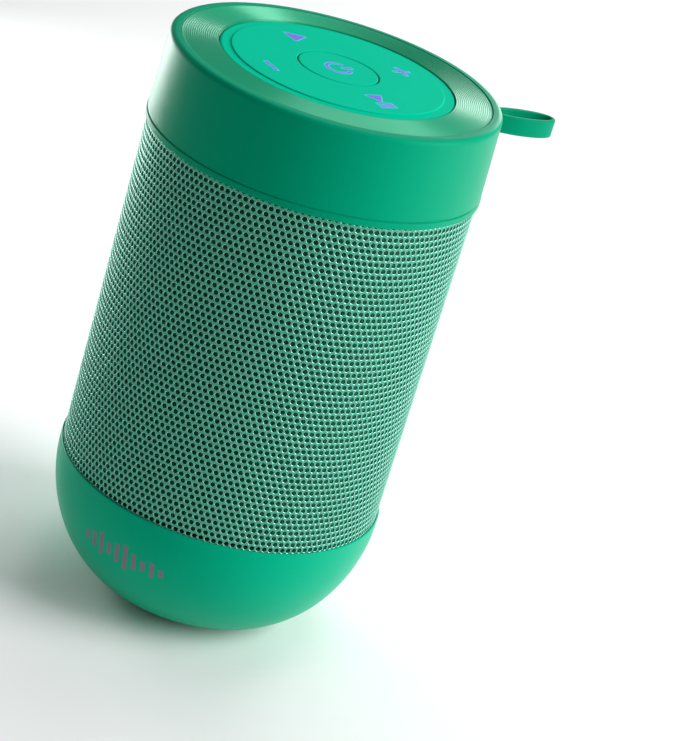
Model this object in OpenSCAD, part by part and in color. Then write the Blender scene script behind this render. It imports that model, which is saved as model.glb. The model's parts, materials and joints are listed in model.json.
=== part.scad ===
// Portable cylinder speaker with a perforated sleeve, a touch of drafted top cap,
// a bowl-shaped bottom cap and a lanyard loop. Millimetres, +Z up, the foot's
// underside at z = 0 on the speaker's axis, the lanyard loop towards +Y.

/* [Outside] */
// Height from the foot to the flat rim
total_h = 118; // [112:0.5:124]
// Height of the top cap's band
cap_h = 18; // [17:0.5:20]
// Height of the bottom cap up to its lip
bowl_h = 28.5; // [28:0.5:31]
// Radius of the top cap at its lower lip
cap_lip_r = 33.95; // [33.9:0.05:34.2]
// Radius of the top cap just under the rim fillet
cap_rim_r = 33.35; // [33.2:0.05:33.6]
// Fillet between the band and the flat rim
rim_fillet = 1.2; // [0.8:0.1:1.4]
// Radius of the bottom cap at its lip
bowl_r = 33.9; // [33.9:0.05:34.1]
// Radius of the flat under the bottom cap
bowl_flat_r = 14.5; // [14:0.5:17]
// Roundness of the bowl, 2 is an ellipse
bowl_power = 1.9; // [1.8:0.05:2.1]
// Outer radius of the perforated sleeve
grille_r = 33.45; // [33.4:0.05:33.5]
// Wall of the perforated sleeve
grille_wall = 0.6; // [0.5:0.05:0.65]

/* [Controls] */
// Outer radius of the turned trim ring
trim_r = 31.1; // [31:0.05:31.15]
// Spacing of the trim ring's grooves
groove_pitch = 0.42; // [0.4:0.01:0.5]
// Outer radius of the silicone button pad
pad_r = 23.6; // [23.4:0.05:23.65]
// Radius of the pad's raised middle
plateau_r = 21.4; // [21:0.1:21.6]
// Radius of the power button
power_r = 8; // [7.5:0.1:8.1]
// Radius of each of the four outer keys
key_r = 4; // [3.5:0.1:4]
// Distance of the outer keys from the axis
key_ring_r = 15.6; // [15.4:0.1:15.8]
// Turn of the key pattern about the axis
key_turn = 13.5; // [8:0.5:18]
// Travel of a button or key
key_travel = 0.4; // [0.2:0.05:0.4]

/* [Lanyard loop] */
// Distance of the loop's tip from the axis
loop_tip_y = 50; // [47:0.5:54]
// Height of the silicone ribbon
loop_h = 3.8; // [3:0.1:3.9]
// Thickness of the silicone ribbon
loop_t = 0.95; // [0.8:0.05:1]
// Outer width of the loop at its widest
loop_w = 5.8; // [5:0.1:6]
// Radius of the pin that holds the loop
pin_r = 0.9; // [0.8:0.05:0.95]

/* [Driver] */
// Height of the driver's mounting face
driver_z = 87; // [86:0.5:87]
// Outer radius of the driver cone
cone_r = 17.4; // [17:0.1:17.6]
// Outer radius of the driver magnet
magnet_r = 14.5; // [13:0.5:15]
// Radius of the passive radiator's plate
radiator_r = 13; // [12:0.5:14]

/* [Battery] */
// Length of the pouch cell
cell_l = 45; // [40:1:45]
// Width of the pouch cell
cell_w = 30; // [26:1:30]
// Thickness of the pouch cell
cell_t = 10; // [8:0.5:10]

/* [Hidden] */
$fn = 120;

// Colours
c_body = "#00B588";
c_trim = "#22AD84";
c_pad = "#00CFA6";
c_sleeve = "#5AA98F";
c_dark = "#202624";
c_steel = "#B9BEC2";

// Heights of the outer shells
z_rim = total_h;
z_band = total_h - cap_h;
z_shelf = z_rim - 1;          // the trim ring lies on this
z_well = z_rim - 4.4;         // floor of the button pad's well
z_well_under = z_well - 1.4;
shelf_t = 1.5;
cap_wall_r = 31.6;            // inside of the top cap's wall
groove_z = z_band + 1.3;      // fine line round the band
foot_gap = 0.4;               // the foot stands this far below the bottom cap
z_straight = bowl_h - 2;      // the bowl is straight above this
bowl_wall = 3;
bowl_floor = 3.2;
sleeve_in = grille_r - grille_wall;
z_sleeve_0 = bowl_h - 1.1;
z_sleeve_1 = z_band + 1;

// Heights of the inner decks
z_board = z_rim - 11.55;      // underside of the main board
board_t = 1;
switch_top = z_well_under - key_travel - 0.1;
z_tray = z_band - 2;
tray_t = 1.6;
deck_t = 1.8;
z_deck = bowl_h + 0.5;
z_lid = driver_z - 2;
z_plate = 41;                 // underside of the chamber's lower plate
plate_t = 2;
flange_r = 32;
tube_r = 25;
tube_in = 22.9;
post_ring_r = 27.8;           // ring of the pillars and of their screws
corner_ring_r = 26.5;         // ring of the screws at 45 degrees
cap_screw_ring_r = 27.4;
lead_ring_r = 27.4;
speaker_lead_angle = 338;
battery_lead_angle = 202;
basket_r = 24.6;
driver_screw_r = basket_r - 1.5;
radiator_screw_r = radiator_r + 9.9;

// Lanyard eye and charging port
eye_y = 30.2;
z_loop = z_rim - 8.1;
pocket_w = 6.6;
z_port = z_rim - 13.2;
port_w = 13.3;
port_h = 5.5;
port_r = 33.8;                // outer face of the port cover
port_seat_r = 32.5;

// Battery
z_cell = 13;
pad_t = 1;

// Turned solid between two radii and two heights
module ring(r_out, r_in, z0, z1) {
    rotate_extrude() translate([r_in, z0]) square([r_out - r_in, z1 - z0]);
}

module disc(r, z0, z1) {
    translate([0, 0, z0]) cylinder(r = r, h = z1 - z0);
}

module around(count, radius, start = 0) {
    for (i = [0 : count - 1]) rotate([0, 0, start + i * 360 / count]) translate([radius, 0, 0]) children();
}

// Pan-head screw standing on its head's seat at z, shaft downwards
module screw(z, head_r, head_h, shaft_r, shaft_l) {
    difference() {
        union() {
            disc(head_r, z, z + head_h);
            disc(shaft_r, z - shaft_l, z);
        }
        for (a = [0, 90]) rotate([0, 0, a])
            translate([-head_r * 0.6, -0.2, z + head_h * 0.5]) cube([head_r * 1.2, 0.4, head_h]);
    }
}

// Box centred on the axis in X and Y
module block(l, w, z0, z1) {
    translate([-l / 2, -w / 2, z0]) cube([l, w, z1 - z0]);
}

// Flat oblong prism along Y, such as a charging socket or its plug
module oblong(w, h, y0, y1, z) {
    translate([0, y0, z]) rotate([-90, 0, 0]) linear_extrude(y1 - y0) {
        square([w - h, h], center = true);
        for (s = [-1, 1]) translate([s * (w - h) / 2, 0]) circle(d = h);
    }
}

// Holes that the leads pass through
module lead_holes(angles, z0, z1) {
    for (a = angles) around(1, lead_ring_r, a) disc(1.6, z0, z1);
}

// Quarter circle of points from angle a to angle b
function arc(cx, cy, r, a, b, steps = 6) =
    [for (i = [0 : steps]) let (t = a + (b - a) * i / steps) [cx + r * cos(t), cy + r * sin(t)]];

function key_angle(i) = key_turn + 90 * i;

// ---- Top cap and its controls ----

function band_r(z) = cap_lip_r - 0.1
    - (cap_lip_r - 0.1 - cap_rim_r) * (z - groove_z) / (z_rim - rim_fillet - groove_z);

module top_cap_shell() {
    rotate_extrude() polygon(concat(
        [[0, z_well_under], [25.4, z_well_under], [25.4, z_shelf - shelf_t],
         [cap_wall_r, z_shelf - shelf_t], [cap_wall_r, z_band], [sleeve_in - 0.15, z_band],
         [sleeve_in - 0.15, z_sleeve_1 + 0.1], [grille_r + 0.08, z_sleeve_1 + 0.1],
         [grille_r + 0.08, z_band], [cap_lip_r - 0.15, z_band], [cap_lip_r, z_band + 0.2],
         [cap_lip_r, groove_z - 0.15], [cap_lip_r - 0.25, groove_z], [cap_lip_r - 0.25, groove_z + 0.25],
         [band_r(groove_z + 0.35), groove_z + 0.35]],
        arc(cap_rim_r - rim_fillet, z_rim - rim_fillet, rim_fillet, 0, 90, 8),
        [[trim_r + 0.12, z_rim], [trim_r + 0.12, z_shelf], [pad_r + 0.1, z_shelf],
         [pad_r + 0.1, z_well], [0, z_well]]
    ));
}

module top_cap() color(c_body) difference() {
    union() {
        top_cap_shell();
        // bosses of the cap screws
        around(4, cap_screw_ring_r, 45) disc(2.6, z_well_under, z_shelf - shelf_t + 0.2);
        // housing of the lanyard eye
        intersection() {
            translate([-pocket_w / 2 - 1.1, eye_y - 3.3, z_loop - 1.9]) cube([pocket_w + 2.2, 8, 8]);
            disc(33, z_band, z_shelf - 0.2);
        }
    }
    around(4, cap_screw_ring_r, 45) {
        disc(1.1, z_band, z_rim);
        disc(2, z_shelf - 1.1, z_rim);
    }
    // plunger holes
    disc(3.4, z_well_under - 1, z_rim);
    around(4, key_ring_r, key_turn) disc(2.2, z_well_under - 1, z_rim);
    // pocket and pin hole of the lanyard
    translate([-pocket_w / 2, eye_y - 2.2, z_loop - 0.4]) cube([pocket_w, 12, loop_h + 0.8]);
    translate([0, eye_y, 0]) disc(pin_r + 0.01, z_loop - 1.5, z_loop + loop_h + 1.2);
    // seat, hole and finger notch of the port cover
    difference() {
        translate([-port_w / 2 - 0.15, 20, z_port - port_h / 2 - 0.15]) cube([port_w + 0.3, 20, port_h + 0.3]);
        disc(port_seat_r, 0, total_h);
    }
    oblong(9.7, 4.1, 28, 36, z_port);
    translate([port_w / 2 + 0.9, 34.2, 0]) disc(1.9, z_port - 1.4, z_port + 1.4);
}

module trim_ring() color(c_trim) rotate_extrude() polygon(concat(
    [[pad_r + 0.15, z_shelf], [trim_r, z_shelf], [trim_r, z_rim - 0.2], [trim_r - 0.1, z_rim - 0.1]],
    [for (i = [0 : 15], k = [0, 1])
        [trim_r - 0.25 - (i + k / 2) * groove_pitch, z_rim - (k == 0 ? 0.1 : 0.28)]],
    [[trim_r - 0.25 - 16 * groove_pitch, z_rim - 0.1], [pad_r + 0.3, z_rim - 0.1], [pad_r + 0.15, z_rim - 0.25]]
));

module button_pad() color(c_pad) difference() {
    rotate_extrude() polygon(concat(
        [[0, z_well], [pad_r, z_well], [pad_r, z_rim - 0.75]],
        arc(pad_r - 0.5, z_rim - 0.75, 0.5, 15, 90, 5),
        arc(plateau_r - 0.2, z_rim - 0.2, 0.2, 0, 90, 4),
        [[0, z_rim]]
    ));
    disc(power_r + 0.3, z_well - 1, z_rim + 1);
    disc(power_r + 1.4, z_well - 1, z_rim - 2.4);
    around(4, key_ring_r, key_turn) {
        disc(key_r + 0.1, z_well - 1, z_rim + 1);
        disc(key_r + 1.2, z_well - 1, z_rim - 2.4);
    }
}

// Round button with a flange under the pad and a plunger through the well's floor
module button(r, stem_r) {
    rotate_extrude() polygon(concat(
        [[0, z_well_under], [stem_r, z_well_under], [stem_r, z_well + 0.7], [r + 1, z_well + 0.7],
         [r + 1, z_rim - 2.7], [r, z_rim - 2.7]],
        arc(r - 0.15, z_rim - 0.15, 0.15, 0, 90, 3),
        [[0, z_rim]]
    ));
}

module outer_key(i) color(c_pad) rotate([0, 0, key_angle(i)]) translate([key_ring_r, 0, 0]) button(key_r, 1.8);

module power_button() color(c_pad) button(power_r, 3);
module play_key() outer_key(0);
module volume_up_key() outer_key(1);
module mode_key() outer_key(2);
module volume_down_key() outer_key(3);

module cap_screws() color(c_steel) around(4, cap_screw_ring_r, 45)
    screw(z_shelf - 1.1, 1.8, 1, 1, 13);

// ---- Lanyard loop ----

loop_mid_y = eye_y + 0.6 * (loop_tip_y - eye_y);

// Half the loop's outer width at a distance y from the axis
function loop_half(y) = y < loop_mid_y
    ? 1.3 + (loop_w / 2 - 1.3) * (0.5 - 0.5 * cos(180 * max(0, y - eye_y - 1.5) / (loop_mid_y - eye_y - 1.5)))
    : loop_w / 2 * pow(max(0, 1 - pow((y - loop_mid_y) / (loop_tip_y - loop_mid_y), 2.3)), 1 / 2.3);
function loop_inner_half(y) = y < loop_mid_y
    ? loop_half(y) - loop_t
    : (loop_w / 2 - loop_t)
        * pow(max(0, 1 - pow((y - loop_mid_y) / (loop_tip_y - loop_t - loop_mid_y), 2.3)), 1 / 2.3);
// Stations along the loop, closer together towards the tip
function stations(y0, y1, n) = [for (i = [0 : n]) y0 + (y1 - y0) * sin(90 * i / n)];

module loop_outline(points) {
    polygon(concat(points, [for (i = [len(points) - 1 : -1 : 0]) if (points[i][0] > 0) [-points[i][0], points[i][1]]]));
}

module lanyard_loop() color(c_body) translate([0, 0, z_loop]) difference() {
    union() {
        linear_extrude(loop_h) loop_outline([for (y = stations(eye_y, loop_tip_y, 16)) [loop_half(y), y]]);
        translate([0, eye_y, 0]) cylinder(r = pin_r + 1, h = loop_h);
    }
    translate([0, 0, -1]) linear_extrude(loop_h + 2)
        loop_outline([for (y = stations(eye_y + 2.1, loop_tip_y - loop_t, 14)) [loop_inner_half(y), y]]);
    translate([0, eye_y, -1]) cylinder(r = pin_r + 0.08, h = loop_h + 2);
}

module lanyard_pin() color(c_steel) translate([0, eye_y, 0]) disc(pin_r, z_loop - 1.4, z_loop + loop_h + 1.1);

// ---- Charging port ----

module port_cover() color(c_body) {
    intersection() {
        ring(port_r, port_seat_r + 0.1, z_port - port_h / 2, z_port + port_h / 2);
        translate([-port_w / 2, 20, 0]) cube([port_w, 20, total_h]);
    }
    oblong(8, 2.7, 31.75, 32.8, z_port);
}

module usb_c_socket() color(c_steel) {
    difference() {
        oblong(8.94, 3.26, 23.8, 31.1, z_port);
        oblong(8.34, 2.66, 24.4, 32, z_port);
    }
    translate([-3.35, 24.2, z_port - 0.35]) cube([6.7, 6.3, 0.7]);
}

// ---- Main board ----

module at_board_screws() {
    for (a = [20, 160, 270]) rotate([0, 0, a]) translate([23, 0, 0]) children();
}

module main_board() color("#1E5B3A") difference() {
    disc(28.8, z_board, z_board + board_t);
    around(4, cap_screw_ring_r, 45) disc(2.8, z_board - 1, z_board + 2);
    at_board_screws() disc(1.15, z_board - 1, z_board + 2);
}

module tact_switches() color("#3A3F44") {
    tact_switch();
    around(4, key_ring_r, key_turn) tact_switch();
}

module tact_switch() {
    block(6, 6, z_board + board_t, switch_top - 0.9);
    disc(1.7, switch_top - 0.9, switch_top);
}

module indicator_leds() color("#D8DCF8") {
    rotate([0, 0, 45]) translate([5.4, 0, 0]) block(1.6, 0.8, z_board + board_t, z_board + board_t + 0.7);
    around(4, key_ring_r - 4.6, key_turn) block(0.8, 1.6, z_board + board_t, z_board + board_t + 0.7);
}

module microphone() color(c_steel) translate([-9.5, -21, 0]) disc(2, z_board + board_t, z_board + board_t + 1.6);

module bluetooth_module() color("#2A3A66") {
    translate([0, -14, 0]) block(15, 12, z_board - 1, z_board);
    translate([-1.5, -14, 0]) block(9, 9, z_board - 2.4, z_board - 1);
}

module amplifier_parts() color("#26292C") {
    translate([12, 3, 0]) block(6, 6, z_board - 1.2, z_board);
    translate([12, 11, 0]) block(4.6, 4.6, z_board - 3, z_board);
    translate([19.5, 3, 0]) block(4.6, 4.6, z_board - 3, z_board);
    translate([-8, 10, 0]) disc(2.5, z_board - 5.4, z_board);
    translate([4, 2, 0]) block(4, 5, z_board - 1.6, z_board);
}

module battery_connector() color("#E9E6DC") translate([-15, 1, 0]) block(6, 4.5, z_board - 3.6, z_board);

module board_screws() color(c_steel) at_board_screws() screw(z_board + board_t, 1.9, 1.1, 1, 5.5);

// ---- Electronics tray and acoustic deck ----

module electronics_tray() color(c_dark) difference() {
    union() {
        disc(31, z_tray, z_tray + tray_t);
        ring(31, 29.4, z_tray, z_tray + 5);
        around(4, cap_screw_ring_r, 45) disc(2.3, z_tray, z_well_under);
        at_board_screws() disc(2.3, z_tray, z_board);
        around(4, post_ring_r) disc(3, z_tray, z_tray + 2.4);
    }
    // groove of the seal
    ring(33, 30.1, z_tray + 2.4, z_tray + 3.8);
    around(4, cap_screw_ring_r, 45) disc(1.01, z_tray + 4, total_h);
    at_board_screws() disc(1.01, z_tray + 2, total_h);
    around(4, post_ring_r) {
        disc(1.3, z_tray - 1, z_tray + 4);
        disc(2, z_tray + 2.4, z_tray + 6);
    }
    lead_holes([speaker_lead_angle, battery_lead_angle], z_tray - 1, z_tray + 3);
}

module tray_seal() color("#15191A") rotate_extrude() translate([30.85, z_tray + 3.1]) circle(r = 0.7);

module tray_screws() color(c_steel) around(4, post_ring_r) screw(z_tray + 2.4, 1.8, 1.2, 1.2, 10);

module sound_diffuser() color(c_dark) difference() {
    rotate_extrude() polygon(concat(
        [[0, z_tray], [21, z_tray], [21, z_tray - 0.8]],
        [for (i = [1 : 9]) let (u = i / 9) [21 - 19 * u, z_tray - 0.8 - 6.2 * pow(u, 2.2)]],
        [[0, z_tray - 7.2]]
    ));
    rotate_extrude() polygon([[0, z_tray + 1], [14, z_tray + 1], [14, z_tray - 0.6], [0, z_tray - 5]]);
}

// ---- Sealed chamber ----

module chamber_lid() color(c_dark) difference() {
    union() {
        ring(flange_r, cone_r + 3.4, z_lid, driver_z);
        around(4, post_ring_r) disc(2.6, z_lid, z_tray);
    }
    around(4, post_ring_r) disc(1.21, z_tray - 9, z_tray + 1);
    around(4, post_ring_r, 45) disc(1.3, z_lid - 1, driver_z + 1);
    around(4, driver_screw_r, 22.5) disc(0.91, z_lid - 1, driver_z + 1);
    lead_holes([battery_lead_angle], z_lid - 1, driver_z + 1);
}

module chamber_gasket() color("#15191A") ring(tube_r - 0.1, tube_in + 0.1, z_lid - 0.6, z_lid);

module chamber_body() color(c_dark) difference() {
    union() {
        ring(tube_r, tube_in, z_plate, z_lid - 0.6);
        ring(flange_r, radiator_r + 6.6, z_plate, z_plate + plate_t);
        around(4, post_ring_r) disc(2.6, z_deck + deck_t, z_plate + plate_t);
        around(4, post_ring_r, 45) disc(2.6, z_plate, z_lid);
    }
    around(4, post_ring_r) disc(1.3, z_deck, z_plate + plate_t + 1);
    around(4, post_ring_r, 45) disc(1.11, z_lid - 9, z_lid + 1);
    around(4, radiator_screw_r, 22.5) disc(0.81, z_plate - 1, z_plate + 1.6);
    lead_holes([battery_lead_angle], z_plate - 1, z_plate + plate_t + 1);
}

module chamber_screws() color(c_steel) {
    around(4, post_ring_r, 45) screw(driver_z, 2, 1.2, 1.1, 10);
    around(4, post_ring_r) screw(z_plate + plate_t, 2, 1.2, 1.1, 18);
}

// ---- Driver ----

z_driver = driver_z + 0.6;

module driver_gasket() color("#15191A") difference() {
    ring(basket_r, cone_r + 3.4, driver_z, z_driver);
    around(4, driver_screw_r, 22.5) disc(1, driver_z - 1, z_driver + 1);
}

module driver_basket() color("#4A4F52") difference() {
    union() {
        ring(basket_r, cone_r + 3, z_driver, z_driver + 1.2);
        // conical cage
        rotate_extrude() polygon([
            [cone_r + 3, z_driver], [cone_r + 3, z_driver + 1], [cone_r + 2, z_driver + 1],
            [14.6, z_driver - 8], [14.6, z_driver - 10.6], [9.5, z_driver - 12.5], [9.5, z_driver - 13.6],
            [16, z_driver - 13.6], [16, z_driver - 8.4]
        ]);
    }
    for (a = [0 : 90 : 270]) rotate([0, 0, a + 22.5]) translate([10, -6, z_driver - 8]) cube([8.6, 12, 5.4]);
    around(4, driver_screw_r, 22.5) disc(1, z_driver - 1, z_driver + 3);
}

module driver_screws() color(c_steel) {
    around(4, driver_screw_r, 22.5) screw(z_driver + 1.2, 1.4, 0.9, 0.9, 3.6);
    around(4, radiator_screw_r, 22.5) mirror([0, 0, 1]) screw(-(z_plate - 1.4), 1.3, 0.9, 0.8, 2.9);
}

z_top_plate = z_driver - 13.6;
module driver_top_plate() color("#8F9498") ring(13.5, 8.35, z_top_plate - 2, z_top_plate);
module driver_magnet() color("#2C2E30") ring(magnet_r, 9.4, z_top_plate - 8, z_top_plate - 2);
module driver_yoke() color("#8F9498") {
    disc(13.5, z_top_plate - 10, z_top_plate - 8);
    disc(7, z_top_plate - 8, z_top_plate);
}
module voice_coil() color("#B5793C") ring(8, 7.35, z_top_plate - 4.5, z_driver - 9.2);

module driver_spider() color("#C9A24B") rotate_extrude() polygon(concat(
    [for (i = [0 : 12]) [8.05 + 6.5 * i / 12, z_driver - 9.6 + 0.45 * sin(i * 90)]],
    [for (i = [12 : -1 : 0]) [8.05 + 6.5 * i / 12, z_driver - 9.95 + 0.45 * sin(i * 90)]]
));

module driver_cone() color("#1B1D1F") rotate_extrude() polygon([
    [7.6, z_driver - 9.2], [8.3, z_driver - 9.2], [13, z_driver - 4.6], [cone_r, z_driver - 0.2],
    [cone_r, z_driver + 0.3], [12.8, z_driver - 4], [7.6, z_driver - 8.7]
]);

module driver_surround() color("#101214") rotate_extrude() polygon(concat(
    [[cone_r + 3.9, z_driver + 1.2], [cone_r + 3.9, z_driver + 1.6], [cone_r + 3, z_driver + 1.6]],
    arc(cone_r + 1.6, z_driver + 0.9, 1.5, 30, 170, 8),
    [[cone_r - 0.9, z_driver + 0.6], [cone_r - 0.9, z_driver + 0.35], [cone_r + 0.45, z_driver + 0.35]],
    arc(cone_r + 1.6, z_driver + 0.9, 1.1, 165, 35, 8),
    [[cone_r + 2.7, z_driver + 1.2]]
));

// Spherical dome over the voice coil
dome_r = 13;
module dust_cap() color("#1B1D1F") intersection() {
    difference() {
        translate([0, 0, z_driver - 4.6 - dome_r]) sphere(r = dome_r);
        translate([0, 0, z_driver - 4.6 - dome_r]) sphere(r = dome_r - 0.35);
    }
    disc(8.6, z_driver - 7.65, z_driver);
}

// ---- Passive radiator ----

module radiator_frame() color("#4A4F52") difference() {
    ring(radiator_screw_r + 1.4, radiator_r + 6.6, z_plate - 1.4, z_plate);
    around(4, radiator_screw_r, 22.5) disc(0.85, z_plate - 3, z_plate + 1);
}

module radiator_plate() color("#8F9498") {
    disc(radiator_r, z_plate - 1.2, z_plate - 0.2);
    disc(radiator_r - 4, z_plate - 0.2, z_plate + 2.4);
}

module radiator_surround() color("#101214") rotate_extrude() polygon(concat(
    [[radiator_r + 8.4, z_plate - 1.4], [radiator_r + 8.4, z_plate - 1.8], [radiator_r + 6.6, z_plate - 1.8]],
    arc(radiator_r + 3.5, z_plate - 1.4, 2.9, -10, -170, 12),
    [[radiator_r - 1, z_plate - 1.7], [radiator_r - 1, z_plate - 1.2], [radiator_r + 0.8, z_plate - 1.2]],
    arc(radiator_r + 3.5, z_plate - 1.4, 2.4, -175, -5, 12),
    [[radiator_r + 6.2, z_plate - 1.4]]
));

// ---- Sleeve, deck and bottom cap ----

module grille() color(c_sleeve) ring(grille_r, sleeve_in, z_sleeve_0, z_sleeve_1);

module acoustic_cloth() color("#003B2C") ring(32.6, 32.3, z_deck, z_band - 0.2);

module lower_deck() color(c_dark) difference() {
    union() {
        disc(32, z_deck, z_deck + deck_t);
        ring(30.6, 29.2, bowl_h - 3, z_deck);
        around(4, post_ring_r) disc(2.6, bowl_h - 6, z_deck);
        // ribs that hold the cell down
        for (x = [-14, 14]) translate([x, 0, 0]) block(1.6, cell_w - 4, z_cell + cell_t + pad_t, z_deck);
    }
    around(4, post_ring_r) disc(1.11, bowl_h - 5, z_deck + 3);
    around(4, corner_ring_r, 45) disc(1.3, z_deck - 1, z_deck + 3);
    around(4, corner_ring_r, 45) disc(3.2, bowl_h - 8, z_deck);
    lead_holes([battery_lead_angle], bowl_h - 4, z_deck + 3);
}

module deck_seal() color("#15191A") ring(sleeve_in - 0.35, 30.9, bowl_h, z_deck);

module deck_screws() color(c_steel) around(4, corner_ring_r, 45) screw(z_deck + deck_t, 2, 1.2, 1.1, 10);

module battery_cell() color("#6F8FB5") difference() {
    union() {
        block(cell_l - 4, cell_w, z_cell, z_cell + cell_t);
        for (x = [-1, 1]) translate([x * (cell_l / 2 - 2), 0, 0]) {
            block(4, cell_w - 4, z_cell, z_cell + cell_t);
            for (y = [-1, 1]) translate([0, y * (cell_w / 2 - 2), 0]) disc(2, z_cell, z_cell + cell_t);
        }
    }
    translate([-cell_l / 2, 0, 0]) block(1, 14, z_cell + 3, z_cell + cell_t - 3);
}

module battery_pads() color("#2B2F31") {
    block(36, 22, z_cell - pad_t, z_cell);
    block(36, 22, z_cell + cell_t, z_cell + cell_t + pad_t);
}

// Radius of the bowl at height z, for a wall set in by side and up by floor_t
function bowl_at(z, side, floor_t) = let (base = foot_gap + floor_t)
    bowl_flat_r - side / 2 + (bowl_r - side - bowl_flat_r + side / 2)
    * pow(max(0, 1 - pow((z_straight - z) / (z_straight - base), bowl_power)), 1 / bowl_power);
// Heights from the flat up to the straight part, closer together near the flat
function bowl_heights(base, n) = [for (i = [0 : n]) z_straight - (z_straight - base) * cos(90 * i / n)];

module bowl_outside() rotate_extrude() polygon(concat(
    [[0, foot_gap]],
    [for (z = bowl_heights(foot_gap, 20)) [bowl_at(z, 0, 0), z]],
    [[bowl_r, bowl_h - 0.25], [bowl_r - 0.15, bowl_h], [0, bowl_h]]
));

module bottom_cap() color(c_body) difference() {
    union() {
        difference() {
            bowl_outside();
            rotate_extrude() polygon(concat(
                [[0, foot_gap + bowl_floor]],
                [for (z = bowl_heights(foot_gap + bowl_floor, 16)) [bowl_at(z, bowl_wall, bowl_floor), z]],
                [[bowl_r - bowl_wall, bowl_h + 1], [0, bowl_h + 1]]
            ));
        }
        // screw bosses and battery ribs, cut to the bowl
        intersection() {
            bowl_outside();
            union() {
                around(4, corner_ring_r, 45) disc(2.8, 3, bowl_h);
                for (x = [-14, 14]) translate([x, 0, 0]) block(1.6, 40, 2, z_cell - pad_t);
                for (y = [-8, 8]) translate([0, y, 0]) block(46, 1.6, 2, z_cell - pad_t);
            }
        }
    }
    around(4, corner_ring_r, 45) disc(1.11, bowl_h - 12, bowl_h + 1);
    // groove that holds the sleeve
    ring(grille_r + 0.05, sleeve_in - 0.15, z_sleeve_0 - 0.1, bowl_h + 1);
    disc(12.7, -1, 1.6);
}

module foot_pad() color("#0C7C5E") difference() {
    disc(12.5, 0, 1.6);
    for (r = [4.5, 7.5, 10.5]) ring(r + 0.4, r - 0.4, -1, 0.3);
}

// ---- Leads ----

// Pair of straight insulated leads side by side
module leads(angle, z0, z1, wire_r) {
    around(1, lead_ring_r, angle) for (s = [-1, 1]) translate([0, s * (wire_r + 0.05), 0]) disc(wire_r, z0, z1);
}

module speaker_leads() color("#B33A2E") leads(speaker_lead_angle, driver_z, z_board, 0.5);
module battery_leads() color("#B33A2E") leads(battery_lead_angle, bowl_h - 3.5, z_board, 0.6);

top_cap();
trim_ring();
button_pad();
power_button();
volume_up_key();
volume_down_key();
play_key();
mode_key();
cap_screws();
lanyard_loop();
lanyard_pin();
port_cover();
usb_c_socket();
main_board();
tact_switches();
indicator_leds();
microphone();
bluetooth_module();
amplifier_parts();
battery_connector();
board_screws();
electronics_tray();
tray_seal();
tray_screws();
sound_diffuser();
chamber_lid();
chamber_gasket();
chamber_body();
chamber_screws();
driver_gasket();
driver_basket();
driver_screws();
driver_top_plate();
driver_magnet();
driver_yoke();
voice_coil();
driver_spider();
driver_cone();
driver_surround();
dust_cap();
radiator_frame();
radiator_plate();
radiator_surround();
grille();
acoustic_cloth();
lower_deck();
deck_seal();
deck_screws();
battery_cell();
battery_pads();
bottom_cap();
foot_pad();
speaker_leads();
battery_leads();
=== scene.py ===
"""Looks of the portable cylinder speaker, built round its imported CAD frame.

Sizes are millimetres until a piece is published, when its mesh is scaled into
the frame's metres. +Z is up, the lanyard loop and the charging port are
towards +Y, and azimuths are degrees about +Z from +X.
"""

import json
import logging
import math
from collections.abc import Callable, Sequence
from dataclasses import dataclass, field
from enum import Enum

import bmesh
import bpy
from mathutils import Matrix, Vector


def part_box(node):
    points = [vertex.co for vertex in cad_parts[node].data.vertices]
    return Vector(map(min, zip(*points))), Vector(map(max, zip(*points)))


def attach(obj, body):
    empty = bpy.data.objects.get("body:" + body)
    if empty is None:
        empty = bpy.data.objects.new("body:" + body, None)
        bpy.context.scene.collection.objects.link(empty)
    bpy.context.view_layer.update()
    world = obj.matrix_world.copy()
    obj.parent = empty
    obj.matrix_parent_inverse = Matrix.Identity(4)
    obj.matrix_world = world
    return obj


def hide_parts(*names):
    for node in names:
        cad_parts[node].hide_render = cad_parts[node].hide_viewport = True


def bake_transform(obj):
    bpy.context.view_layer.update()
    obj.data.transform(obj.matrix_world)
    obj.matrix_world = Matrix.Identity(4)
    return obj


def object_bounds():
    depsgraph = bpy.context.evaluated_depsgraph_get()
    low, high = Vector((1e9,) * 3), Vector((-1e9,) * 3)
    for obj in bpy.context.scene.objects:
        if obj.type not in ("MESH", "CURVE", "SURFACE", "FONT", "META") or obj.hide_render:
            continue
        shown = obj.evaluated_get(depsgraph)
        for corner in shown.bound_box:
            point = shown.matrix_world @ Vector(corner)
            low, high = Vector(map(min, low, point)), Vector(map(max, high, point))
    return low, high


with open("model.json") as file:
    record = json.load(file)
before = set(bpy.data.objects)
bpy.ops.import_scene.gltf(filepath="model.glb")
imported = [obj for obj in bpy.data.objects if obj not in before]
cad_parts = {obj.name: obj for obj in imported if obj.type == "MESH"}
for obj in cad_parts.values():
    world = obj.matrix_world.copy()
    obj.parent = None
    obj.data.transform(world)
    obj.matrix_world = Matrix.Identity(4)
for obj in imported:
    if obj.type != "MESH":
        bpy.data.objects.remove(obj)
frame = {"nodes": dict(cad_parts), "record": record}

LOG = logging.getLogger("speaker")
MM = 0.001
# Steps of a full turn. The sides of the openings in the cap fall on these steps.
TURN_STEPS = 248
STEP = 360 / TURN_STEPS
PORT_AZIMUTH = 90.0
# Half the width of the lanyard's window and of the port's seat, in steps
WINDOW_STEPS = 4
SEAT_STEPS = 8
# Inner and outer radius of the groove that holds the sleeve's edge in both caps
SLEEVE_GROOVE = (32.7, 33.53)
FRAME_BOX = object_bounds()


# ---- Measuring the frame ----


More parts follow.
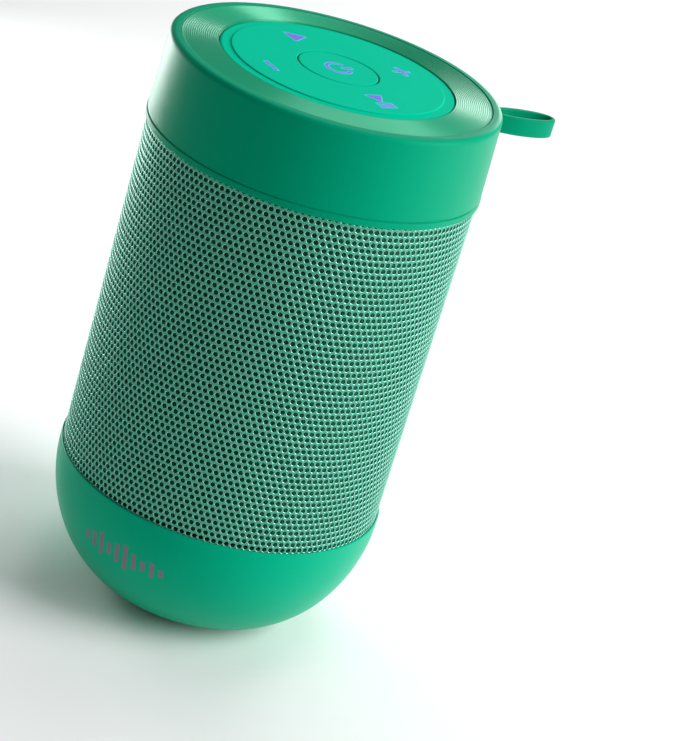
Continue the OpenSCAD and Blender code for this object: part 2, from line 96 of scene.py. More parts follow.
@dataclass(frozen=True)
class Extent:
    """Box of a CAD node at rest, in millimetres."""

    low: Vector
    high: Vector

    @property
    def bottom(self) -> float:
        """Lowest height."""
        return self.low.z

    @property
    def top(self) -> float:
        """Greatest height."""
        return self.high.z

    @property
    def middle(self) -> Vector:
        """Centre of the box."""
        return (self.low + self.high) / 2


def extent(node: str) -> Extent:
    """Reads a CAD node's box.

    Args:
        node: Name of the CAD node.

    Returns:
        Its box in millimetres.
    """
    low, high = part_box(node)
    return Extent(low / MM, high / MM)


def azimuth_of(point: Vector) -> float:
    """Azimuth of a point in degrees, from -180 to 180."""
    return math.degrees(math.atan2(point.y, point.x))


def radius_of(point: Vector) -> float:
    """Distance of a point from the speaker's axis."""
    return math.hypot(point.x, point.y)


# ---- Turning and publishing ----


@dataclass(frozen=True)
class Corner:
    """Corner of a turned profile, rounded by a fillet where one is given."""

    r: float
    z: float
    fillet: float = 0.0


def rounded(corners: Sequence[Corner], steps: int = 6, land: float = 0.06) -> list[Vector]:
    """Rounds the filleted corners of a profile.

    Args:
        corners: The profile's corners in order.
        steps: Steps in each fillet.
        land: Length of the short flat on both sides of a fillet, which keeps
            the shading of the flats beside it even.

    Returns:
        Points (r, z) of the finished profile.
    """
    points: list[Vector] = []
    for index, corner in enumerate(corners):
        here = Vector((corner.r, corner.z))
        if not corner.fillet:
            points.append(here)
            continue
        back = Vector((corners[index - 1].r, corners[index - 1].z)) - here
        after = corners[(index + 1) % len(corners)]
        ahead = Vector((after.r, after.z)) - here
        half = back.angle(ahead) / 2
        reach = corner.fillet / math.tan(half)
        centre = here + (back.normalized() + ahead.normalized()).normalized() * corner.fillet / math.sin(half)
        first = here + back.normalized() * reach - centre
        last = here + ahead.normalized() * reach - centre
        start = math.atan2(first.y, first.x)
        sweep = (math.atan2(last.y, last.x) - start + math.pi) % math.tau - math.pi
        if back.length > reach + 2 * land:
            points.append(here + back.normalized() * (reach + land))
        for step in range(steps + 1):
            angle = start + sweep * step / steps
            points.append(centre + corner.fillet * Vector((math.cos(angle), math.sin(angle))))
        if ahead.length > reach + 2 * land:
            points.append(here + ahead.normalized() * (reach + land))
    return points


def turned(profile: Sequence[Vector], closed: bool = False, steps: int = TURN_STEPS) -> bmesh.types.BMesh:
    """Spins a profile about the axis.

    Args:
        profile: Points (r, z). A point with r = 0 closes a pole.
        closed: Whether the last point joins the first, for a ring.
        steps: Steps of the full turn.

    Returns:
        The turned shape with its normals outwards.
    """
    shape = bmesh.new()
    points = [shape.verts.new((point.x, 0, point.y)) for point in profile]
    lines = [shape.edges.new(pair) for pair in zip(points, points[1:])]
    if closed:
        lines.append(shape.edges.new((points[-1], points[0])))
    bmesh.ops.spin(shape, geom=points + lines, cent=(0, 0, 0), axis=(0, 0, 1), angle=math.tau,
                   steps=steps, use_merge=True)
    bmesh.ops.remove_doubles(shape, verts=shape.verts, dist=1e-4)
    bmesh.ops.recalc_face_normals(shape, faces=shape.faces)
    return shape


def moved(shape: bmesh.types.BMesh, offset: Vector = Vector(), turn: float = 0.0) -> bmesh.types.BMesh:
    """Shifts a whole shape and then turns it about the axis.

    Args:
        shape: The shape.
        offset: How far it is shifted.
        turn: Turn in degrees.

    Returns:
        The same shape.
    """
    bmesh.ops.translate(shape, verts=shape.verts, vec=offset)
    bmesh.ops.rotate(shape, verts=shape.verts, cent=(0, 0, 0), matrix=Matrix.Rotation(math.radians(turn), 3, "Z"))
    return shape


def verts_of(geometry: Sequence[object]) -> list[bmesh.types.BMVert]:
    """Picks the verts out of an operator's result."""
    return [item for item in geometry if isinstance(item, bmesh.types.BMVert)]


def faces_of(geometry: Sequence[object]) -> list[bmesh.types.BMFace]:
    """Picks the faces out of an operator's result."""
    return [item for item in geometry if isinstance(item, bmesh.types.BMFace)]


def thickened(shape: bmesh.types.BMesh, height: float) -> bmesh.types.BMesh:
    """Draws a flat sheet along Z into a solid.

    Args:
        shape: The sheet.
        height: How far it is drawn, downwards if negative.

    Returns:
        The same shape, with its normals outwards.
    """
    drawn = bmesh.ops.extrude_face_region(shape, geom=shape.faces[:])["geom"]
    bmesh.ops.translate(shape, verts=verts_of(drawn), vec=(0, 0, height))
    bmesh.ops.recalc_face_normals(shape, faces=shape.faces)
    return shape


def sharp_edges(shape: bmesh.types.BMesh, angle: float = 1.2) -> list[bmesh.types.BMEdge]:
    """Edges between two faces that meet at more than an angle in radians."""
    return [edge for edge in shape.edges if edge.is_manifold and edge.calc_face_angle() > angle]


def joined(shapes: Sequence[bmesh.types.BMesh]) -> bmesh.types.BMesh:
    """Puts several shapes into the first one.

    Args:
        shapes: The shapes. All but the first are freed.

    Returns:
        The first shape, which now holds them all.
    """
    first, *rest = shapes
    for shape in rest:
        part = bpy.data.meshes.new("part")
        shape.to_mesh(part)
        first.from_mesh(part)
        shape.free()
        bpy.data.meshes.remove(part)
    return first


def solid_box(size: Vector, centre: Vector, edge: float = 0.0, only_upright: bool = False) -> bmesh.types.BMesh:
    """Box with rounded edges.

    Args:
        size: Its three sizes.
        centre: Its middle.
        edge: Radius of the rounding.
        only_upright: Rounds only the four edges along Z.

    Returns:
        The box.
    """
    shape = bmesh.new()
    bmesh.ops.create_cube(shape, size=1)
    bmesh.ops.scale(shape, verts=shape.verts, vec=size)
    bmesh.ops.translate(shape, verts=shape.verts, vec=centre)
    if edge:
        edges = [e for e in shape.edges
                 if not only_upright or abs(e.verts[0].co.z - e.verts[1].co.z) > 0.5 * size.z]
        bmesh.ops.bevel(shape, geom=edges, offset=edge, segments=4, profile=0.5, affect="EDGES", material=-1)
    return shape


def oblong(share: float, width: float, height: float) -> tuple[float, float]:
    """Point on the outline of an oblong with round ends.

    Args:
        share: How far round the outline, from 0 to 1, anticlockwise from the
            middle of the right-hand end.
        width: Whole width.
        height: Whole height.

    Returns:
        The point's two coordinates from the oblong's middle.
    """
    end = height / 2
    straight = width - height
    quarter = math.pi * end / 2
    along = (share % 1) * (2 * straight + 4 * quarter)
    for sign, offset in ((1, 0.0), (-1, straight + 2 * quarter), (1, 2 * straight + 4 * quarter)):
        here = along - offset
        if abs(here) <= quarter:
            angle = here / end
            return sign * (straight / 2 + end * math.cos(angle)), sign * end * math.sin(angle)
    if along < straight + quarter:
        return straight / 2 - (along - quarter), end
    return -straight / 2 + (along - straight - 3 * quarter), -end


def publish(shape: bmesh.types.BMesh, name: str, body: str, finish: "Finish",
            replaces: Sequence[str] = (), extra: Sequence["Finish"] = (), crease: float = 35.0,
            weighted: bool = False) -> bpy.types.Object:
    """Makes a finished shape a piece of the speaker.

    Args:
        shape: The shape in millimetres, which is freed.
        name: The piece's name.
        body: CAD body that it rides on, or nothing for a piece that rides on no body.
        finish: Its finish.
        replaces: CAD nodes that it stands for.
        extra: Finishes of the faces with the material numbers from 1 on.
        crease: Angle above which an edge stays sharp, in degrees.
        weighted: Whether large faces keep their own shading beside small ones.

    Returns:
        The piece.
    """
    bmesh.ops.scale(shape, verts=shape.verts, vec=(MM, MM, MM))
    mesh = bpy.data.meshes.new(name)
    shape.to_mesh(mesh)
    shape.free()
    mesh.shade_smooth()
    mesh.set_sharp_from_angle(angle=math.radians(crease))
    for each in (finish, *extra):
        mesh.materials.append(each.material())
    piece = bpy.data.objects.new(name, mesh)
    bpy.context.scene.collection.objects.link(piece)
    if weighted:
        modifier = piece.modifiers.new("even_shading", "WEIGHTED_NORMAL")
        modifier.keep_sharp = True
    if body:
        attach(piece, body)
    if replaces:
        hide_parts(*replaces)
    LOG.info("%s: %d faces on %s", name, len(mesh.polygons), body)
    return piece


# ---- Finishes ----


class Relief(Enum):
    """How the fine relief of a surface runs."""

    GRAIN = "fine random grain of a mould, a casting or a coating"
    WEAVE = "crossing threads, on the piece's own map"
    TURNED = "rings round the speaker's axis"
    FIBRE = "short fibres pressed flat"


def linear(colour: str) -> tuple[float, float, float, float]:
    """Turns an sRGB hex colour into linear red, green, blue and alpha."""
    channels = [int(colour[i:i + 2], 16) / 255 for i in (1, 3, 5)]
    return (*(c / 12.92 if c <= 0.04045 else ((c + 0.055) / 1.055) ** 2.4 for c in channels), 1.0)


def per_metre(size_mm: float) -> float:
    """Texture scale at which a noise's grain has that size."""
    return 1 / (size_mm * MM)


def wave_scale(pitch_mm: float) -> float:
    """Texture scale at which a wave repeats at that pitch, as its own period is pi / 10."""
    return math.pi / 10 / (pitch_mm * MM)


def add_node(tree: bpy.types.NodeTree, kind: str, inputs: dict[str | int, object] | None = None,
             **settings: object) -> bpy.types.Node:
    """Adds one shader node.

    Args:
        tree: Node tree that takes it.
        kind: Type name of the node.
        inputs: Socket name or number, and its value or the output linked to it.
        settings: Properties of the node.

    Returns:
        The node.
    """
    node = tree.nodes.new(kind)
    for key, value in settings.items():
        setattr(node, key, value)
    for socket, value in (inputs or {}).items():
        if isinstance(value, bpy.types.NodeSocket):
            tree.links.new(value, node.inputs[socket])
        else:
            node.inputs[socket].default_value = value
    return node


@dataclass(frozen=True)
class Finish:
    """A real material and how its surface was made.

    Attributes:
        name: Common name of the material and its making.
        colour: Main colour.
        shade: Colour that it drifts to in soft patches.
        roughness: Middle roughness.
        spread: How far the roughness strays to both sides.
        patch_mm: Size of the soft patches.
        relief: Pattern of the fine relief.
        relief_mm: Spacing of the relief.
        depth_mm: Depth of the relief.
        settings: Values set on the shader's own sockets.
    """

    name: str
    colour: str
    shade: str
    roughness: float
    spread: float = 0.04
    patch_mm: float = 9.0
    relief: Relief = Relief.GRAIN
    relief_mm: float = 0.3
    depth_mm: float = 0.004
    settings: dict[str, object] = field(default_factory=dict)

    def material(self) -> bpy.types.Material:
        """Makes the node material, once.

        Returns:
            The material.
        """
        made = bpy.data.materials.get(self.name)
        if made:
            return made
        made = bpy.data.materials.new(self.name)
        made.use_nodes = True
        made.diffuse_color = linear(self.colour)
        tree = made.node_tree
        shader = tree.nodes["Principled BSDF"]
        for socket, value in self.settings.items():
            shader.inputs[socket].default_value = value
        place = add_node(tree, "ShaderNodeTexCoord").outputs["Object"]
        patches = add_node(tree, "ShaderNodeTexNoise",
                           {"Vector": place, "Scale": per_metre(self.patch_mm), "Detail": 3.0})
        tint = add_node(tree, "ShaderNodeMix",
                        {0: patches.outputs["Fac"], 6: linear(self.colour), 7: linear(self.shade)},
                        data_type="RGBA")
        tree.links.new(tint.outputs[2], shader.inputs["Base Color"])
        polish = add_node(tree, "ShaderNodeMapRange",
                          {"Value": patches.outputs["Fac"],
                           "To Min": self.roughness - self.spread, "To Max": self.roughness + self.spread})
        tree.links.new(polish.outputs["Result"], shader.inputs["Roughness"])
        bump = add_node(tree, "ShaderNodeBump", {"Height": self.height(tree, place), "Strength": 1.0,
                                                 "Distance": self.depth_mm * MM})
        tree.links.new(bump.outputs["Normal"], shader.inputs["Normal"])
        if shader.inputs["Anisotropic"].default_value:
            around = add_node(tree, "ShaderNodeTangent", direction_type="RADIAL", axis="Z")
            tree.links.new(around.outputs["Tangent"], shader.inputs["Tangent"])
        return made

    def height(self, tree: bpy.types.NodeTree, place: bpy.types.NodeSocket) -> bpy.types.NodeSocket:
        """Builds the relief's height pattern.

        Args:
            tree: Node tree of the material.
            place: Object coordinates.

        Returns:
            Output that holds the height from 0 to 1.
        """
        if self.relief is Relief.GRAIN:
            return add_node(tree, "ShaderNodeTexNoise",
                            {"Vector": place, "Scale": per_metre(self.relief_mm), "Detail": 2.0}).outputs["Fac"]
        if self.relief is Relief.TURNED:
            return add_node(tree, "ShaderNodeTexWave",
                            {"Vector": place, "Scale": wave_scale(self.relief_mm)},
                            wave_type="RINGS", rings_direction="Z").outputs["Fac"]
        if self.relief is Relief.FIBRE:
            pressed = add_node(tree, "ShaderNodeMapping", {"Vector": place, "Scale": (1.0, 1.0, 0.2)})
            return add_node(tree, "ShaderNodeTexNoise",
                            {"Vector": pressed.outputs["Vector"], "Scale": per_metre(self.relief_mm),
                             "Detail": 5.0, "Distortion": 1.5}).outputs["Fac"]
        flat = add_node(tree, "ShaderNodeUVMap", uv_map="wrap").outputs["UV"]
        warp, weft = (add_node(tree, "ShaderNodeTexWave", {"Vector": flat, "Scale": wave_scale(self.relief_mm)},
                               bands_direction=direction).outputs["Fac"] for direction in "XY")
        return add_node(tree, "ShaderNodeMath", {0: warp, 1: weft}, operation="MAXIMUM").outputs["Value"]


def low_gloss(ior: float, level: float) -> dict[str, object]:
    """Shader values of a green plastic or rubber whose weak gloss keeps its own green."""
    return {"IOR": ior, "Specular IOR Level": level, "Specular Tint": linear("#00FFB4")}


# ABS moulded in a spark-eroded tool: a soft satin gloss. Its grain of about 0.05 mm is drawn at
# 0.25 mm, or it wouldn't show.
CAP_PLASTIC = Finish("satin_moulded_abs", "#009B74", "#009872", 0.40, relief_mm=0.25, depth_mm=0.0010,
                     settings=low_gloss(1.54, 0.1))
# The same ABS in a smoother tool, so a little glossier. Its green is lighter than the cap's: painted light that
# brightens the bowl
BOWL_ABS_WITH_PAINTED_LIGHT = Finish("glossy_abs_with_painted_light", "#00AE86", "#00AA82", 0.36, relief_mm=0.25, depth_mm=0.0008,
                      settings=low_gloss(1.54, 0.1))
# Trim turned on a lathe and lacquered: the tool's rings draw each light out into a wedge
TURNED_TRIM = Finish("turned_lacquered_trim", "#10B384", "#0CAE80", 0.41, spread=0.02,
                     relief=Relief.TURNED, relief_mm=0.42, depth_mm=0.002,
                     settings={"Metallic": 0.2, "IOR": 1.6, "Specular IOR Level": 0.68, "Anisotropic": 0.9,
                               "Anisotropic Rotation": 0.25})
# Moulded silicone, powdery and nearly without gloss
PAD_SILICONE = Finish("matt_moulded_silicone", "#00C8A0", "#00C49C", 0.7, relief_mm=0.2, depth_mm=0.0012,
                      settings=low_gloss(1.43, 0.02))
# The strap's silicone is softer and a little shinier from handling
STRAP_SILICONE = Finish("soft_moulded_silicone", "#009671", "#008E6A", 0.5, relief_mm=0.35, depth_mm=0.003,
                        settings=low_gloss(1.43, 0.16))
# Pad-printed ink over the keys, flat and matt
ICON_INK = Finish("printed_lavender_ink", "#7C70EC", "#776BE6", 0.6, relief_mm=0.15, depth_mm=0.001)
# A pale blue layer under the lavender ink, spread past its lines so that it shows as a bright outline: a painted
# halo of light round each sign
ICON_HALO_PAINT = Finish("pale_blue_painted_halo", "#46C9EE", "#42C2E6", 0.6, relief_mm=0.15, depth_mm=0.001)
# Screen-printed mark on the bowl, a dull grey against the gloss
MARK_INK = Finish("printed_mauve_grey_ink", "#7A7480", "#746E7A", 0.5, relief_mm=0.15, depth_mm=0.001)
# Punched steel sheet with a baked metallic paint, whose flakes give it a silky gloss
SLEEVE_PAINT = Finish("metallic_painted_perforated_steel", "#3FA789", "#3AA184", 0.42, relief_mm=0.12,
                      depth_mm=0.0015, settings={"Metallic": 0.4})
# A paler colour on the punched edges: a painted highlight round each hole, laid on the real drawn-in edge
PUNCH_EDGE_HIGHLIGHT = Finish("painted_highlight_on_punched_edges", "#A4EFDA", "#9CE8D2", 0.3, relief_mm=0.12,
                    depth_mm=0.0015, settings={"Metallic": 0.4})
# Woven polyester: 0.3 mm threads, dark under the holes, with a faint sheen
SCRIM = Finish("woven_polyester_scrim", "#0B7A59", "#0A6E50", 0.85, relief=Relief.WEAVE, relief_mm=0.3,
               depth_mm=0.08, settings={"Sheen Weight": 0.3, "Sheen Roughness": 0.5})
# Moulded nitrile rubber, dull with a coarse grain that grips
FOOT_RUBBER = Finish("moulded_nitrile_rubber", "#0C6E54", "#0A654C", 0.72, relief_mm=0.4, depth_mm=0.01)
# Black ABS moulded without a finish, slightly uneven
INNER_PLASTIC = Finish("black_moulded_abs", "#1D2321", "#232A28", 0.5, relief_mm=0.4, depth_mm=0.006)
# Moulded butyl rubber, black and softly shiny
SEAL_RUBBER = Finish("moulded_butyl_rubber", "#15191A", "#1B2021", 0.6, relief_mm=0.3, depth_mm=0.004)
# Cut foam with open cells of 0.6 mm, deep and without gloss
FOAM = Finish("open_cell_foam", "#2B2F31", "#36393C", 0.95, relief_mm=0.6, depth_mm=0.2)
# Steel plated with nickel, bright and nearly smooth
PLATED_STEEL = Finish("nickel_plated_steel", "#C9CCCE", "#BDC0C2", 0.24, relief_mm=0.3, depth_mm=0.001,
                      settings={"Metallic": 1.0})
# Mild steel with the rings of the turning tool
BARE_STEEL = Finish("turned_mild_steel", "#9EA2A4", "#8F9395", 0.38, relief=Relief.TURNED, relief_mm=0.3,
                    depth_mm=0.004, settings={"Metallic": 1.0})
# Pressed steel painted black, with the paint's fine orange peel
BASKET_PAINT = Finish("black_painted_steel", "#16191A", "#1E2122", 0.42, relief_mm=0.3, depth_mm=0.006)
# Sintered and ground ferrite, dark grey and a little rough
FERRITE = Finish("sintered_ferrite", "#2C2D2F", "#353638", 0.55, relief_mm=0.2, depth_mm=0.008)
# Copper wire under clear enamel, wound close, so glossy with fine ribs
COIL_WIRE = Finish("enamelled_copper_wire", "#B4643A", "#A6582F", 0.3, relief_mm=0.2, depth_mm=0.01,
                   settings={"Metallic": 1.0})
# Cotton cloth stiffened with resin and pressed into rings
SPIDER_CLOTH = Finish("resined_cotton_cloth", "#B9803A", "#A8722F", 0.8, relief=Relief.TURNED, relief_mm=1.4,
                      depth_mm=0.12)
# Paper pulp pressed in a mould, matt with short fibres
CONE_PAPER = Finish("pressed_paper_pulp", "#1B1C1C", "#28292A", 0.75, relief=Relief.FIBRE, relief_mm=0.5,
                    depth_mm=0.03)
# Glass laminate under a glossy green solder mask
LAMINATE = Finish("solder_masked_glass_laminate", "#14532F", "#0F4727", 0.35, relief_mm=0.7, depth_mm=0.004)
# Epoxy moulded round the chips, matt black
PART_PLASTIC = Finish("moulded_epoxy", "#202224", "#292B2D", 0.55, relief_mm=0.15, depth_mm=0.003)
# Clear cast epoxy, smooth and partly see-through
LED_LENS = Finish("clear_epoxy_lens", "#D8DCF8", "#CDD2F2", 0.15, relief_mm=0.3, depth_mm=0.001,
                  settings={"Transmission Weight": 0.6, "IOR": 1.55})
# Moulded nylon in its own ivory, a little waxy
NYLON = Finish("natural_nylon", "#E9E6DC", "#DEDACE", 0.45, relief_mm=0.3, depth_mm=0.004)
# Aluminised film drawn over the cell, shiny with soft dents
CELL_WRAP = Finish("aluminised_pouch_film", "#A9B6C2", "#9CAAB7", 0.3, relief_mm=2.5, depth_mm=0.06,
                   settings={"Metallic": 0.8})
# Extruded PVC sleeving, smooth with a soft gloss
LEAD_PVC = Finish("extruded_pvc", "#B33A2E", "#A63226", 0.4, relief_mm=0.3, depth_mm=0.002)
# Rolled matt emulsion, almost white
FLOOR_PAINT = Finish("matt_studio_paint", "#FBFBFB", "#F9FAFA", 0.9, patch_mm=400, relief_mm=3, depth_mm=0.01)

FINISH_OF_SLOT = {
    "cap_plastic": CAP_PLASTIC, "bowl_plastic": BOWL_ABS_WITH_PAINTED_LIGHT, "trim_plastic": TURNED_TRIM,
    "pad_silicone": PAD_SILICONE, "strap_silicone": STRAP_SILICONE, "sleeve_metal": SLEEVE_PAINT,
    "scrim_cloth": SCRIM, "foot_rubber": FOOT_RUBBER, "inner_plastic": INNER_PLASTIC,
    "seal_rubber": SEAL_RUBBER, "foam_pad": FOAM, "plated_steel": PLATED_STEEL, "bare_steel": BARE_STEEL,
    "painted_basket": BASKET_PAINT, "ferrite": FERRITE, "coil_wire": COIL_WIRE, "spider_cloth": SPIDER_CLOTH,
    "cone_paper": CONE_PAPER, "board_laminate": LAMINATE, "part_plastic": PART_PLASTIC, "led_lens": LED_LENS,
    "connector_nylon": NYLON, "cell_wrap": CELL_WRAP, "lead_insulation": LEAD_PVC,
}


# ---- Top cap ----


@dataclass
class TopCap:
    """Drafted top cap with its fine line, the lanyard's window, the port's seat and the trim ring.

    Attributes:
        lip_r: Radius of the lower lip.
        rim_r: Radius of the band at the top.
        rim_fillet: Rounding between the band and the rim.
        rim_drop: How far the trim ring lies below the rim.
        line_rise: Height of the fine line above the lip.
        line_depth: Depth and height of the fine line.
        wall_r: Radius of the inside of the wall.
        trim_r: Outer radius of the trim ring.
        pad_r: Radius of the button pad inside the ring.
        grooves: Number of turned grooves on the ring.
        groove_pitch: Spacing of the grooves.
        groove_depth: Depth of a groove.
        flank: Share of a groove that its long flank takes.
        skirt_r: Radius of the well's wall on its underside.
        floor_t: Thickness of the well's floor.
        shelf_t: Thickness of the shelf under the trim ring.
        seat_r: Radius of the port seat's floor.
        seat_edge: Width of the floor's edge round the port's hole.
        port_hole: Width and height of the port's hole.
        notch: Depth and half height of the fingernail notch, and its width in steps.
        skin_r: Radius beyond which a vert or face belongs to the wall's outside.
        pocket: Width and depth of the pocket behind the window.
        pocket_set: How far the pocket's middle lies inside the pin.
        pocket_edge: How far the pocket stands beyond the window above and below.
        pocket_wall: Thickness of the pocket's wall.
        pocket_bore: Depth of the pocket's hollow.
    """

    lip_r: float = 33.95
    rim_r: float = 33.35
    rim_fillet: float = 1.2
    rim_drop: float = 0.1
    line_rise: float = 1.3
    line_depth: float = 0.25
    wall_r: float = 31.6
    trim_r: float = 31.1
    pad_r: float = 23.6
    grooves: int = 17
    groove_pitch: float = 0.42
    groove_depth: float = 0.08
    flank: float = 0.86
    skirt_r: float = 25.4
    floor_t: float = 1.4
    shelf_t: float = 1.5
    seat_r: float = 32.5
    seat_edge: float = 0.5
    port_hole: tuple[float, float] = (9.7, 4.1)
    notch: tuple[float, float, float] = (0.9, 1.9, 3.0)
    skin_r: float = 33.2
    pocket: tuple[float, float] = (8.8, 7.2)
    pocket_set: float = 1.6
    pocket_edge: float = 1.2
    pocket_wall: float = 1.1
    pocket_bore: float = 5.4

    def __post_init__(self) -> None:
        """Takes its heights from the frame."""
        cap, loop, cover = extent("top_cap"), extent("lanyard_loop"), extent("port_cover")
        self.bottom, self.rim = cap.bottom, cap.top
        self.shelf = extent("trim_ring").bottom
        self.well = extent("button_pad").bottom
        self.sleeve_top = extent("grille").top
        self.window = (loop.bottom - 0.4, loop.top + 0.4)
        self.seat = (cover.bottom - 0.15, cover.top + 0.15)
        self.port_z = cover.middle.z

    def band_r(self, z: float) -> float:
        """Radius of the drafted band.

        Args:
            z: Height.

        Returns:
            The radius there.
        """
        foot = self.bottom + self.line_rise
        share = (z - foot) / (self.rim - self.rim_fillet - foot)
        return self.lip_r - 0.1 + (self.rim_r - self.lip_r + 0.1) * share

    def outside(self) -> list[Vector]:
        """Profile of the shell, from the lip up over the rim, into the well and back inside the wall.

        Returns:
            Its points.
        """
        line, depth = self.bottom + self.line_rise, self.line_depth
        notch_levels = (self.port_z + rise for rise in (-1.4, -0.9, 0, 0.9, 1.4))
        levels = sorted([*self.window, *self.seat, *notch_levels])
        groove_in, groove_out = SLEEVE_GROOVE
        groove_top = self.sleeve_top + 0.1
        under, roof = self.well - self.floor_t, self.shelf - self.shelf_t
        corners = [
            Corner(groove_out, groove_top), Corner(groove_out, self.bottom, 0.06),
            Corner(self.lip_r, self.bottom, 0.18), Corner(self.lip_r, line - 0.08, 0.08),
            Corner(self.lip_r - depth, line + 0.06), Corner(self.lip_r - depth, line + depth - 0.06),
            Corner(self.band_r(line + depth + 0.12), line + depth + 0.12, 0.08),
            *(Corner(self.band_r(z), z) for z in levels),
            Corner(self.rim_r, self.rim, self.rim_fillet), Corner(self.trim_r + 0.12, self.rim, 0.07),
            Corner(self.trim_r + 0.12, self.shelf), Corner(self.pad_r + 0.1, self.shelf),
            Corner(self.pad_r + 0.1, self.well), Corner(0, self.well), Corner(0, under),
            Corner(self.skirt_r, under), Corner(self.skirt_r, roof), Corner(self.wall_r, roof),
            *(Corner(self.wall_r, z) for z in reversed((*self.seat, *self.window))),
            Corner(self.wall_r, self.bottom), Corner(groove_in, self.bottom), Corner(groove_in, groove_top),
            Corner(groove_out, groove_top),
        ]
        return rounded(corners, steps=7)

    def faces_at(self, shape: bmesh.types.BMesh, outside: bool, half_steps: int,
                 heights: tuple[float, float]) -> list[bmesh.types.BMFace]:
        """Faces of the wall where it is opened.

        Args:
            shape: The cap.
            outside: Whether they lie on the outside of the wall, or else on its inside.
            half_steps: Half the opening's width in steps of the turn.
            heights: Lowest and highest height.

        Returns:
            The faces.
        """
        found = []
        for face in shape.faces:
            middle = face.calc_center_median()
            radius = radius_of(middle)
            on_wall = radius > self.skin_r - 0.2 if outside else abs(radius - self.wall_r) < 0.7
            if (on_wall and heights[0] < middle.z < heights[1]
                    and abs(azimuth_of(middle) - PORT_AZIMUTH) < half_steps * STEP):
                found.append(face)
        return found

    def cut_window(self, shape: bmesh.types.BMesh) -> None:
        """Opens the lanyard's window through the wall.

        Args:
            shape: The cap.
        """
        ends = [face for outside in (True, False)
                for face in self.faces_at(shape, outside, WINDOW_STEPS, self.window)]
        bmesh.ops.delete(shape, geom=ends, context="FACES")
        bmesh.ops.bridge_loops(shape, edges=[e for e in shape.edges if e.is_boundary])

    def cut_seat(self, shape: bmesh.types.BMesh) -> None:
        """Sinks the port's seat into the wall and opens its oblong hole.

        Args:
            shape: The cap.
        """
        outer = self.faces_at(shape, True, SEAT_STEPS, self.seat)
        sunk = bmesh.ops.extrude_face_region(shape, geom=outer)["geom"]
        bmesh.ops.delete(shape, geom=outer, context="FACES")
        for vert in verts_of(sunk):
            vert.co.xy *= self.seat_r / radius_of(vert.co)
        for faces in (faces_of(sunk), self.faces_at(shape, False, SEAT_STEPS, self.seat)):
            bmesh.ops.inset_region(shape, faces=faces, thickness=self.seat_edge, use_even_offset=True)
            rim = self.ordered_rim(faces)
            radius = radius_of(rim[0].co)
            bmesh.ops.delete(shape, geom=faces, context="FACES")
            for index, vert in enumerate(rim):
                x, z = oblong((index + 0.5) / len(rim), *self.port_hole)
                vert.co = Vector((-x, math.sqrt(radius ** 2 - x * x), self.port_z + z))
        bmesh.ops.bridge_loops(shape, edges=[e for e in shape.edges if e.is_boundary])

    @staticmethod
    def ordered_rim(faces: Sequence[bmesh.types.BMFace]) -> list[bmesh.types.BMVert]:
        """Verts round a patch in order, beginning at its side with the smallest azimuth.

        Args:
            faces: The patch.

        Returns:
            The verts of its outline.
        """
        inside = set(faces)
        edges = {e for f in faces for e in f.edges if sum(g in inside for g in e.link_faces) == 1}
        verts = {v for e in edges for v in e.verts}
        middle = sum((v.co for v in verts), Vector()) / len(verts)

        def share(vert: bmesh.types.BMVert) -> float:
            """Direction of a vert from the middle, with 10 degrees across as long as 2.5 mm up."""
            across = (azimuth_of(vert.co) - PORT_AZIMUTH) / 10
            return math.atan2((vert.co.z - middle.z) / 2.5, across) % math.tau

        return sorted(verts, key=share)

    def dish_notch(self, shape: bmesh.types.BMesh) -> None:
        """Dishes the band beside the port's seat for a fingernail.

        Args:
            shape: The cap.
        """
        depth, half_height, width = self.notch
        edge = PORT_AZIMUTH - SEAT_STEPS * STEP
        for vert in shape.verts:
            beside = (edge - azimuth_of(vert.co)) / STEP
            rise = abs(vert.co.z - self.port_z) / half_height
            if -0.5 < beside < width and rise < 1 and radius_of(vert.co) > self.skin_r:
                sink = depth * (1 - rise ** 2) * (1 - max(0.0, beside) / width)
                vert.co.xy *= 1 - sink / radius_of(vert.co)

    def soften_openings(self, shape: bmesh.types.BMesh) -> None:
        """Rounds the rims of the window and the seat.

        Args:
            shape: The cap.
        """
        rims = []
        for edge in sharp_edges(shape, 1.0):
            middle = (edge.verts[0].co + edge.verts[1].co) / 2
            if (radius_of(middle) > self.skin_r and self.seat[0] - 0.1 < middle.z < self.window[1] + 0.1
                    and abs(azimuth_of(middle) - PORT_AZIMUTH) < (SEAT_STEPS + 0.2) * STEP):
                rims.append(edge)
        bmesh.ops.bevel(shape, geom=rims, offset=0.16, segments=3, profile=0.5, affect="EDGES", material=-1)

    def shell(self) -> None:
        """Builds the cap's shell."""
        shape = turned(self.outside())
        self.cut_window(shape)
        self.cut_seat(shape)
        self.dish_notch(shape)
        bmesh.ops.recalc_face_normals(shape, faces=shape.faces)
        self.soften_openings(shape)
        publish(shape, "cap_shell", "housing", CAP_PLASTIC, ["top_cap"], weighted=True)

    def eye_housing(self) -> None:
        """Builds the small pocket inside the wall that holds the loop's eye."""
        low, high = self.window
        centre = Vector((0, extent("lanyard_pin").middle.y - self.pocket_set, (low + high) / 2))
        shape = solid_box(Vector((*self.pocket, high - low + 2 * self.pocket_edge)), centre)
        front = [face for face in shape.faces if face.normal.y > 0.9]
        bmesh.ops.inset_region(shape, faces=front, thickness=self.pocket_wall)
        sunk = bmesh.ops.extrude_face_region(shape, geom=front)["geom"]
        bmesh.ops.delete(shape, geom=front, context="FACES")
        bmesh.ops.translate(shape, verts=verts_of(sunk), vec=(0, -self.pocket_bore, 0))
        bmesh.ops.recalc_face_normals(shape, faces=shape.faces)
        publish(shape, "eye_housing", "housing", CAP_PLASTIC)

